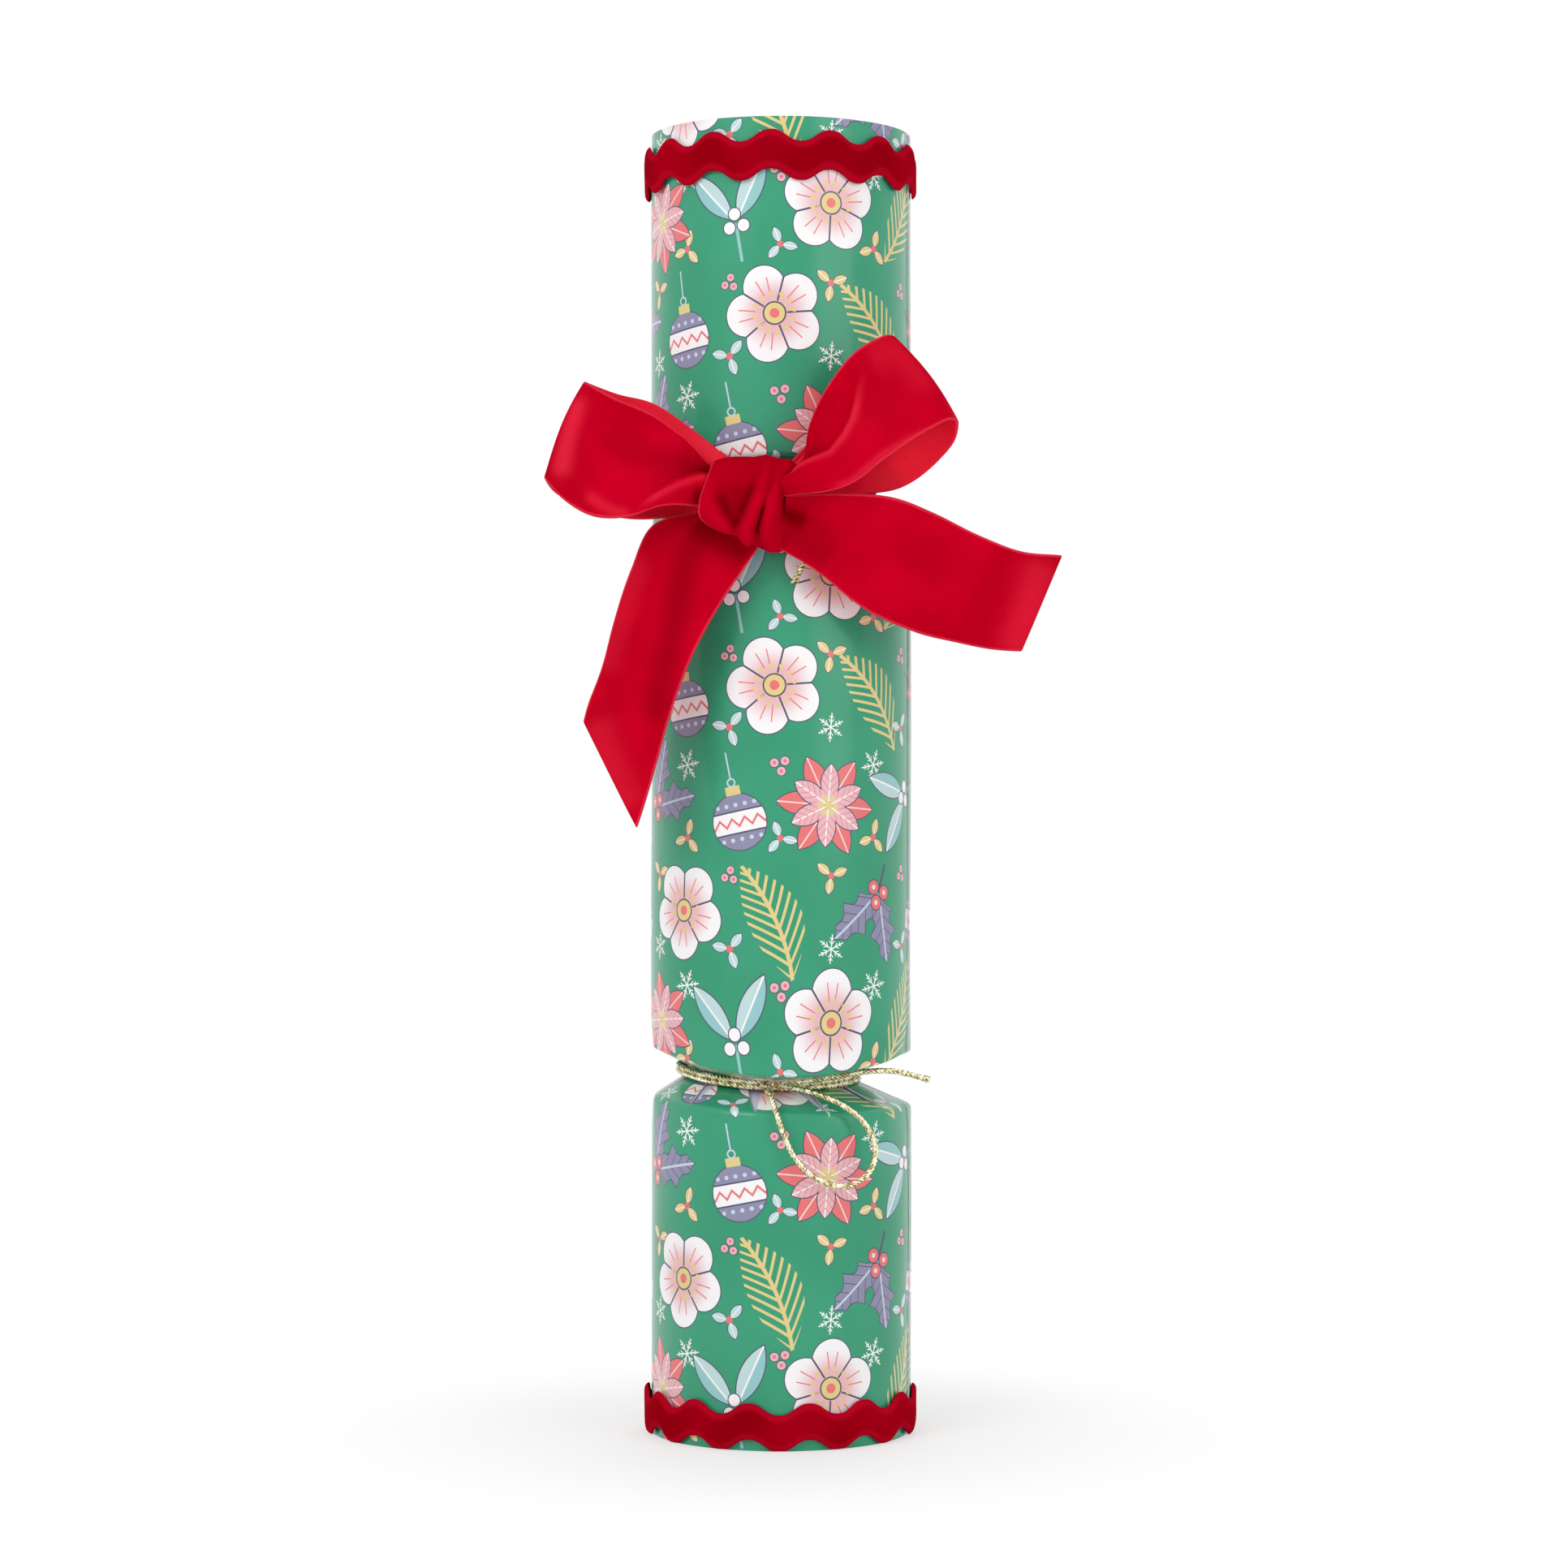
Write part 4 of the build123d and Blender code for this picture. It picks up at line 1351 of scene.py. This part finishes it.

# %% [markdown]
# A ribbon is a grid whose rows stand on the curve. The pile side faces out of a loop and to the front on a
# tail. Beside the knot each loop has a fold, drawn as a line in the front view: what lies beyond the line
# is set back, with painted shade in the crease and a painted highlight along the fold's edge. Other lines
# paint light and shade on the velvet too, each with an amount and a spread.

# %% Folds, painted shade and painted light
FOLD_SOFTNESS = 1.0
# Painted shade in a fold's crease, and a painted highlight along the fold's edge.
CREASE_SHADE = -0.8
CREASE_REACH = 3.0
RIM_HIGHLIGHT = 0.6
RIM_REACH = 1.2
RIM_FADE = 4
STROKE_TIP = 0.3
STROKE_TAPER = 5
LEFT_FOLD = [
    (-16.7, 0.2),
    (-18.5, -0.1),
    (-20.9, -0.6),
    (-24, -1.8),
    (-27.7, -3.8),
    (-31.3, -6),
    (-34.3, -8.6),
]
RIGHT_FOLD = [
    (2.3, 0.7),
    (4.5, 2.6),
    (8, 4),
    (11.8, 5.4),
    (15, 9.5),
    (16.9, 13),
    (17.8, 16.2),
    (18.4, 20),
    (20, 25),
]
# Lines of painted light and shade in the front view, in mm: amount, spread and points. Below 0 is painted
# shade, above 0 a painted highlight. The inner ones are for the layer behind a loop's front.
LEFT_LOOP_SHADING = [
    (-0.35, 5.0, [(-20, 4), (-27, 3), (-36, 6), (-44, 10)]),
    (-0.5, 1.0, [(-19.6, -2), (-19.9, -6.5)]),
    (0.5, 1.8, [(-46, -4), (-42, -7), (-38.6, -8.8), (-35, -9)]),
    (0.7, 3.0, [(-52, -1), (-50, 9), (-47, 20)]),
]
RIGHT_LOOP_SHADING = [
    (-0.25, 3.0, [(5.5, 5), (8, 9), (11, 13)]),
    (0.12, 7.0, [(12, 6), (20, 12), (27, 20)]),
    (0.32, 6.0, [(20, 27), (28, 30), (37, 20)]),
    (0.5, 1.1, [(41.3, 13), (30.8, 8.6), (23.8, 4.5), (19.7, 1), (16.5, -1.6), (11.8, -2.8)]),
]
LEFT_TAIL_SHADING = [
    (-0.7, 4.5, [(-21, -10), (-16, -13.5), (-11, -16.5), (-7, -19)]),
    (-0.5, 5.0, [(-21, -13), (-23, -22), (-25, -35), (-28.5, -50), (-30, -62)]),
    (0.35, 5.0, [(-32, -16), (-38, -32), (-43, -48)]),
    (0.4, 6.0, [(-45, -56), (-40, -68), (-35, -80)]),
]
RIGHT_TAIL_SHADING = [
    (-0.55, 3.0, [(0, -8.5), (3, -9.6), (6.5, -10.6)]),
    (-0.35, 7.0, [(0, -11), (6, -14), (13, -19)]),
    (0.45, 6.0, [(63, -18), (59, -31), (55, -43)]),
]
LEFT_LOOP_INNER_SHADING = [
    (-0.4, 3.0, [(-34, -9.5), (-20, -8)]),
    (0.3, 5.0, [(-12, 2), (-24, 10), (-38, 19)]),
]
RIGHT_LOOP_INNER_SHADING = [
    (1.0, 8.0, [(42, 16), (38, 10), (33, 5), (26, 1)]),
    (-0.3, 7.0, [(20, 0), (14, -3), (6, -5)]),
]


def line_place(x, z, line):
    """Gap from a point to a line of segments, the hand it lies on, and how far along that is, 0 to 1."""
    best = None
    for number, ((x1, z1), (x2, z2)) in enumerate(zip(line, line[1:])):
        dx, dz = x2 - x1, z2 - z1
        along = clamp(((x - x1) * dx + (z - z1) * dz) / (dx * dx + dz * dz))
        gap = hypot(x - x1 - along * dx, z - z1 - along * dz)
        hand = 1 if dz * (x - x1) > dx * (z - z1) else -1
        if best is None or gap < best[0]:
            best = (gap, hand, (number + along) / (len(line) - 1))
    return best


def strokes_at(x, z, strokes):
    """What strokes add at a point. Each has an amount, a spread and a line, and tapers at its ends."""
    total = 0.0
    for amount, spread, line in strokes:
        gap, _, along = line_place(x, z, line)
        taper = min(1.0, STROKE_TIP + STROKE_TAPER * min(along, 1 - along))
        total += amount * taper * exp(-((gap / spread) ** 2))
    return total


def fold_at(x, z, line, face):
    """How far a fold sets a point back, 0 to 1, and the painted shade and highlight it gives there."""
    if line is None:
        return 0.0, 0.0
    gap, hand, along = line_place(x, z, line)
    step = clamp(hand * face * gap / FOLD_SOFTNESS)
    beyond = step * step * (3 - 2 * step)
    # Painted shade in the crease, and a painted highlight along the fold's edge.
    crease = CREASE_SHADE * beyond * (1 - along) * exp(-gap / CREASE_REACH)
    rim = RIM_HIGHLIGHT * (1 - beyond) * min(1.0, RIM_FADE * (1 - along)) * exp(-((gap / RIM_REACH) ** 2))
    return beyond * (1 - along), crease + rim


print("strokes on the loops:", len(LEFT_LOOP_SHADING), len(RIGHT_LOOP_SHADING))

# %% Ribbon meshes
def grid_mesh(name, places, weave, painted_light, closed=False, span=(0, 1)):
    """A mesh of quads from rows of places, with its `weave` UV map and its `painted_light`."""
    rows, columns = len(places), len(places[0])
    mesh = bpy.data.meshes.new(name)
    faces = []
    for row in range(rows if closed else rows - 1):
        after = (row + 1) % rows
        for column in range(columns - 1):
            here = row * columns + column
            there = after * columns + column
            faces.append((here, here + 1, there + 1, there))
    mesh.from_pydata([place for row in places for place in row], [], faces)
    mesh.uv_layers.new(name="weave")
    shares = [span[0] + (span[1] - span[0]) * column / (columns - 1) for column in range(columns)]
    lay_uv(mesh, "weave", [(along, share) for along in weave for share in shares])
    painted_lights = mesh.attributes.new("painted_light", "FLOAT", "POINT")
    painted_lights.data.foreach_set("value", [value for row in painted_light for value in row])
    piece = bpy.data.objects.new(name, mesh)
    link_alone(piece)
    return piece


def finish_ribbon(piece):
    """Give a ribbon its thickness, its two faces and a rounded edge."""
    piece.data.materials.append(ribbon_velvet)
    piece.data.materials.append(ribbon_reverse)
    apply_modifier(piece, "SOLIDIFY", thickness=RIBBON_THICKNESS, offset=0, material_offset=1)
    apply_modifier(piece, "SUBSURF", levels=1, render_levels=1)
    bpy.ops.object.shade_smooth()
    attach(piece, "upper_end")


print("ribbon of", RIBBON_WIDTH / MM, "by", RIBBON_THICKNESS / MM, "mm")

# %% Loops and tails
RIBBON_COLUMNS = 40
RIBBON_STEP = 0.8
RIBBON_CUP = 0.7
RIPPLE = 0.25
RIPPLE_ALONG = 0.16
RIPPLE_ACROSS = 5
TURN_ROWS = 6
FOLD_FADE = 3


def ribbon(name, node, stations, face, pleats, strokes, fold=None, depth=0.0, inner=()):
    """A loop or tail through its stations. `face` is 1 or -1, the side of the grid that carries the pile.

    `pleats` are a height, a count and a start; `strokes` paint light and shade on the layer in front. A
    loop also has a fold with its depth, and `inner` paints light and shade on the layer behind."""
    held = "folded" if inner else "hung"
    pleat_height, pleat_count, pleat_start = pleats
    rows = smooth_rows(stations, RIBBON_STEP)
    front_rows = len(rows) if held == "hung" else len(rows) / 2
    places = []
    weave = []
    painted_light = []
    length = 0.0
    for number, (x, y, z, lean, tilt, share) in enumerate(rows):
        behind = Vector(rows[max(number - 1, 0)][:3])
        ahead = Vector(rows[min(number + 1, len(rows) - 1)][:3])
        flat_part = cos(radians(tilt))
        rise = sin(radians(lean))
        across = Vector((flat_part * cos(radians(lean)), sin(radians(tilt)), flat_part * rise))
        outward = across.cross(ahead - behind).normalized() * face
        if number:
            length += (Vector((x, y, z)) - behind).length
        gather = max(0.0, 1 - share)
        near_knot = clamp(FOLD_FADE * (1 - number / front_rows))
        front = clamp(0.5 + (front_rows - number) / TURN_ROWS) if inner else 1.0
        line = []
        painted_lights = []
        for column in range(RIBBON_COLUMNS + 1):
            side = column / RIBBON_COLUMNS - 0.5
            place = Vector((x, y, z)) + across * (side * share * RIBBON_WIDTH / MM)
            back, shade = fold_at(place.x, place.z, fold, face)
            pleat = pleat_height * gather * cos(2 * pi * pleat_count * side + pleat_start)
            cup = RIBBON_CUP * (1 - 4 * side * side) - RIBBON_CUP / 2
            ripple = RIPPLE * sin(RIPPLE_ALONG * length + RIPPLE_ACROSS * side)
            place += outward * (pleat + cup + ripple - depth * near_knot * back)
            line.append(upper_front + place * MM)
            # Painted light and shade: the fold's crease and edge and the painted lines, for the front layer
            # and the one behind.
            seen = shade + strokes_at(place.x, place.z, strokes)
            painted_lights.append(front * seen + (1 - front) * strokes_at(place.x, place.z, inner))
        places.append(line if face > 0 else line[::-1])
        painted_light.append(painted_lights if face > 0 else painted_lights[::-1])
        weave.append(length)
    piece = grid_mesh(name, places, weave, painted_light)
    finish_ribbon(piece)
    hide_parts(node)
    print(name, round(length, 1), "mm of ribbon,", len(piece.data.polygons), "faces")


ribbon(
    "left_bow_loop",
    "bow_left_loop",
    LEFT_LOOP,
    face=1,
    pleats=(1.6, 1.5, 0.6),
    strokes=LEFT_LOOP_SHADING,
    fold=LEFT_FOLD,
    depth=3.5,
    inner=LEFT_LOOP_INNER_SHADING,
)
ribbon(
    "right_bow_loop",
    "bow_right_loop",
    RIGHT_LOOP,
    face=-1,
    pleats=(1.6, 1.5, 2.4),
    strokes=RIGHT_LOOP_SHADING,
    fold=RIGHT_FOLD,
    depth=4.0,
    inner=RIGHT_LOOP_INNER_SHADING,
)
ribbon(
    "left_bow_tail",
    "bow_left_tail",
    LEFT_TAIL,
    face=1,
    pleats=(2.4, 1.0, 0.4),
    strokes=LEFT_TAIL_SHADING,
)
ribbon(
    "right_bow_tail",
    "bow_right_tail",
    RIGHT_TAIL,
    face=-1,
    pleats=(2.6, 1.5, 1.0),
    strokes=RIGHT_TAIL_SHADING,
)

# %% [markdown]
# The knot is the same ribbon, taken once round the middle: wide over the top, pinched to a point below,
# with two ridges that run down to that point and creases beside them. It is a closed band through stations
# of its own, and each ridge or crease is a line that lifts or sinks what lies near it. The whole knot is
# painted darker, as painted shade, with a painted highlight on each ridge and more painted shade in each
# crease. A station of the knot holds the x of its two edges, then their z, then the depth.

# %% Knot
KNOT_EDGES = [
    (-15.6, 3.8, 4.5, 3.9, -5.0),
    (-16.0, 4.0, 3.8, 3.1, -8.6),
    (-17.6, 1.6, -1.3, 0.2, -11.0),
    (-19.0, 0.8, -6.1, -4.0, -12.0),
    (-19.0, 0.5, -9.6, -7.3, -12.0),
    (-16.3, 0.8, -11.9, -11.2, -11.4),
    (-11.6, 0.5, -14.0, -14.4, -10.0),
    (-7.6, 1.0, -15.4, -16.6, -7.6),
    (-6.6, 1.4, -15.6, -17.4, -5.0),
    (-8.0, 1.0, -14.8, -16.0, -2.6),
    (-14.0, 1.5, -9.0, -9.0, -1.4),
    (-15.0, 2.5, -2.0, -2.0, -1.2),
    (-15.5, 3.0, 2.6, 2.8, -2.2),
]
KNOT_FOLDS = [
    (2.5, 1.1, [(-3.0, 2.0), (-3.6, -0.8), (-5.1, -4.8), (-6.9, -9.2), (-8.3, -12.4), (-7.6, -16.6)]),
    (1.8, 1.3, [(0.0, -1.0), (-0.8, -3.2), (-2.5, -8.1), (-3.3, -12.3), (-1.6, -17.0)]),
    (1.1, 2.2, [(-16.1, 2.2), (-17.4, -6.1), (-15.3, -10.2), (-11.0, -14.4)]),
    (-1.9, 1.5, [(-14.5, -4.0), (-12.4, -9.4), (-9.9, -13.3)]),
    (-2.0, 0.8, [(-3.7, -6.6), (-4.7, -10.6), (-5.6, -14.0)]),
    (-1.6, 1.5, [(-5.6, -1.5), (-8.0, -7.5), (-9.9, -12.5)]),
    (-1.2, 2.6, [(-10.2, -2.0), (-10.4, -10.0)]),
    (-0.6, 2.0, [(-15.0, 0.5), (-15.4, -5.0)]),
    (-2.4, 1.1, [(0.9, -3.5), (1.0, -12.0)]),
    (0.7, 1.6, [(-3.2, 5.0), (-3.4, 1.0)]),
    (0.5, 1.2, [(2.2, 5.0), (1.8, 1.0)]),
]
KNOT_COLUMNS = 44
KNOT_STEP = 0.6
KNOT_ROUNDING = 1.6
KNOT_SINK = 1.4
# Painted shade over the whole knot and in its creases, and a painted highlight on its ridges.
KNOT_SHADE = -0.33
RIDGE_HIGHLIGHT = 0.11
CREASE_SHADE_RISE = 0.16
FOLDS_START = 3
FOLDS_FADE = 4
KNOT_SPAN = (0.1, 1)
knot_stations = [((lx + rx) / 2, y, (lz + rz) / 2, rx - lx, rz - lz) for lx, rx, lz, rz, y in KNOT_EDGES]
knot_rows = smooth_rows(knot_stations, KNOT_STEP, closed=True)
knot_places = []
knot_painted_light = []
for number, (x, y, z, wide, rise) in enumerate(knot_rows):
    ahead = Vector(knot_rows[(number + 1) % len(knot_rows)][:3]) - Vector(knot_rows[number - 1][:3])
    across = Vector((wide, 0, rise))
    outward = ahead.cross(across).normalized()
    front = clamp((-y - FOLDS_START) / FOLDS_FADE)
    line = []
    painted_lights = []
    for column in range(KNOT_COLUMNS + 1):
        side = column / KNOT_COLUMNS - 0.5
        place = Vector((x, y, z)) + across * side
        lift = front * strokes_at(place.x, place.z, KNOT_FOLDS)
        rounded = KNOT_ROUNDING * (1 - (2 * side) ** 4) - KNOT_SINK
        line.append(upper_front + (place + outward * (rounded + lift)) * MM)
        # Painted shade and highlight: darker overall, lighter on a ridge, darker in a crease.
        painted_lights.append(KNOT_SHADE + lift * (RIDGE_HIGHLIGHT if lift > 0 else CREASE_SHADE_RISE))
    knot_places.append(line[::-1])
    knot_painted_light.append(painted_lights[::-1])
knot_weave = [row * KNOT_STEP for row in range(len(knot_rows))]
knot = grid_mesh("bow_knot_wrap", knot_places, knot_weave, knot_painted_light, closed=True, span=KNOT_SPAN)
finish_ribbon(knot)
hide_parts("bow_knot")
print("knot faces", len(knot.data.polygons))

# %% [markdown]
# Round the neck the ribbon is bunched into the groove. A torus gets the groove's section, and long pleats
# that turn slowly as they go round.

# %% Neck band
BAND_PLEAT = 0.13
BAND_WRINKLE = 0.06
BAND_DEPTH_SHARE = 0.92
BAND_HEIGHT_SHARE = 0.86
BAND_TAPER = 0.14
band_low, band_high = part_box("bow_neck_band")
band_outer = (band_high.x - band_low.x) / 2
band_half_height = (band_high.z - band_low.z) / 2
band_half_depth = 2.0 * MM
band_middle = band_outer - band_half_depth
bpy.ops.object.select_all(action="DESELECT")
bpy.ops.mesh.primitive_torus_add(
    major_segments=180,
    minor_segments=40,
    major_radius=band_middle,
    minor_radius=band_half_depth,
)
band = bpy.context.object
band.name = "bow_neck_wrap"
band.data.uv_layers[0].name = "weave"
for vertex in band.data.vertices:
    angle = atan2(vertex.co.y, vertex.co.x)
    depth = hypot(vertex.co.x, vertex.co.y) - band_middle
    turn = atan2(vertex.co.z, depth)
    wrinkle = BAND_WRINKLE * sin(9 * turn - 3 * angle)
    pleat = 1 + BAND_PLEAT * cos(5 * turn + 2 * sin(angle) + angle) + wrinkle
    reach = band_middle + cos(turn) * band_half_depth * pleat * BAND_DEPTH_SHARE
    taper = 1 - BAND_TAPER + BAND_TAPER * cos(turn)
    height = sin(turn) * band_half_height * pleat * taper * BAND_HEIGHT_SHARE
    vertex.co = (neck_x + reach * cos(angle), reach * sin(angle), upper_neck + height)
band.data.materials.append(ribbon_velvet)
bpy.ops.object.shade_smooth()
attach(band, "upper_end")
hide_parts("bow_neck_band")
print("neck band faces", len(band.data.polygons))

# %% [markdown]
# ## Inside the cracker
# The ends' liners, the snap and the little gifts keep the shapes of their solids, and get finishes of their
# own: grey board, buff card, friction compound, white paper, crepe tissue, rubber, and turned wood.

# %% Paper and card inside
def dress(material, slot_name, *nodes):
    """Put a finish on solids that keep their shape."""
    for node in nodes:
        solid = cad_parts[node]
        solid.data.materials.clear()
        solid.data.materials.append(material)


liner_board = speckled("liner_board", srgb(196, 192, 200), srgb(216, 213, 220), 90.0, 1400.0, 0.9)
snap_buff = speckled("snap_buff", srgb(206, 186, 140), srgb(224, 206, 164), 120.0, 1600.0, 0.85)
compound = speckled("compound", srgb(62, 52, 50), srgb(96, 82, 78), 500.0, 2600.0, 0.95, 0.6)
sleeve_paper = speckled("sleeve_paper", srgb(236, 232, 226), srgb(248, 246, 242), 100.0, 1500.0, 0.8)
rubber = speckled("rubber", srgb(196, 160, 96), srgb(214, 180, 116), 300.0, 2200.0, 0.6)
joke_paper = speckled("joke_paper", srgb(240, 238, 230), srgb(250, 249, 244), 80.0, 1500.0, 0.75)
dress(liner_board, "liner_card", "lower_end_liner", "upper_end_liner")
dress(snap_buff, "snap_card", "snap_lower_strip", "snap_upper_strip")
dress(compound, "friction_compound", "snap_lower_patch", "snap_upper_patch")
dress(sleeve_paper, "joke_paper", "snap_sleeve")
dress(rubber, "rubber_band", "crown_band")
dress(joke_paper, "joke_paper", "joke_slip")
print("board, card, compound, paper and rubber are on")

# %% [markdown]
# The barrel's liner is a tube of the same board. Its lower edge rides up and sags with the card round it,
# or it would show below the rim, so it is a grid once more: rolled, closed and given the board's thickness.

# %% Barrel liner
LINER_ROWS = 27
LINER_THICKNESS = 0.7 * MM

liner_low, liner_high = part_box("barrel_liner")
liner_height = liner_high.z - liner_low.z
liner_rows = [(liner_high.x, liner_low.z + liner_height * row / LINER_ROWS) for row in range(LINER_ROWS + 1)]
liner = rolled_ring("barrel_liner_tube", liner_rows, liner_board, LINER_THICKNESS)
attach(liner, "barrel")
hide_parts("barrel_liner")

# %% [markdown]
# The crown is crepe tissue, rolled: fine creases run along the roll. The top is turned wood: rings of
# grain, and painted stripes round its rim.

# %% Tissue and turned wood
tissue, tissue_wire, tissue_shader = new_finish("crepe_tissue", Roughness=0.8, Sheen_Weight=0.15)
tissue_place = tissue_wire.node("TexCoord", out="Object")
stretched = tissue_wire.node("Mapping", None, {"Vector": tissue_place, "Scale": (1, 1, 0.06)})
crepe = noise(tissue_wire, stretched, 1400.0, 3.0)
tissue_cloud = noise(tissue_wire, tissue_place, 60.0)
tissue_tone = (crepe * 0.6 + tissue_cloud * 0.4).between(0.35, 0.65)
feed(tissue_shader, "Base Color", tissue_tone.colour(srgb(196, 44, 60), srgb(222, 72, 84)))
feed(tissue_shader, "Normal", bump(tissue_wire, crepe, 0.6, 0.0006))
dress(tissue, "tissue_paper", "paper_crown")

top_low, top_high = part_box("spinning_top_body")
top_axis = ((top_low.x + top_high.x) / 2, (top_low.y + top_high.y) / 2, 0)


def turned_wood(name, stripes):
    """Pale wood with rings round the top's axis, and painted stripes between levels."""
    material, wire, shader = new_finish(name, Roughness=0.45, Coat_Weight=0.2, Coat_Roughness=0.2)
    place = wire.node("TexCoord", out="Object")
    centred = wire.node("VectorMath", {"operation": "SUBTRACT"}, {0: place, 1: top_axis})
    long_grain = wire.node("Mapping", None, {"Vector": centred, "Scale": (1, 1, 0.12)})
    grain = noise(wire, long_grain, 420.0, 4.0)
    tone = grain.between(0.3, 0.7).colour(srgb(206, 164, 110), srgb(232, 200, 152))
    level = wire.node("SeparateXYZ", None, {0: place}, "Z")
    for low, high, paint_colour in stripes:
        tone = ((level > low) & (level < high)).colour(tone, paint_colour)
    feed(shader, "Base Color", tone)
    feed(shader, "Normal", bump(wire, grain, 0.15, 0.0002))
    return material


RIM_LEVEL = 11 * MM
rim_low = top_low.z + RIM_LEVEL
painted = [
    (rim_low, rim_low + 4 * MM, srgb(190, 30, 44)),
    (rim_low + 5.2 * MM, rim_low + 6.4 * MM, srgb(40, 130, 96)),
    (rim_low - 3.4 * MM, rim_low - 2.2 * MM, srgb(214, 185, 98)),
]
dress(turned_wood("top_wood", painted), "turned_wood", "spinning_top_body")
dress(turned_wood("peg_wood", []), "peg_wood", "spinning_top_peg")
print("inner finishes done")
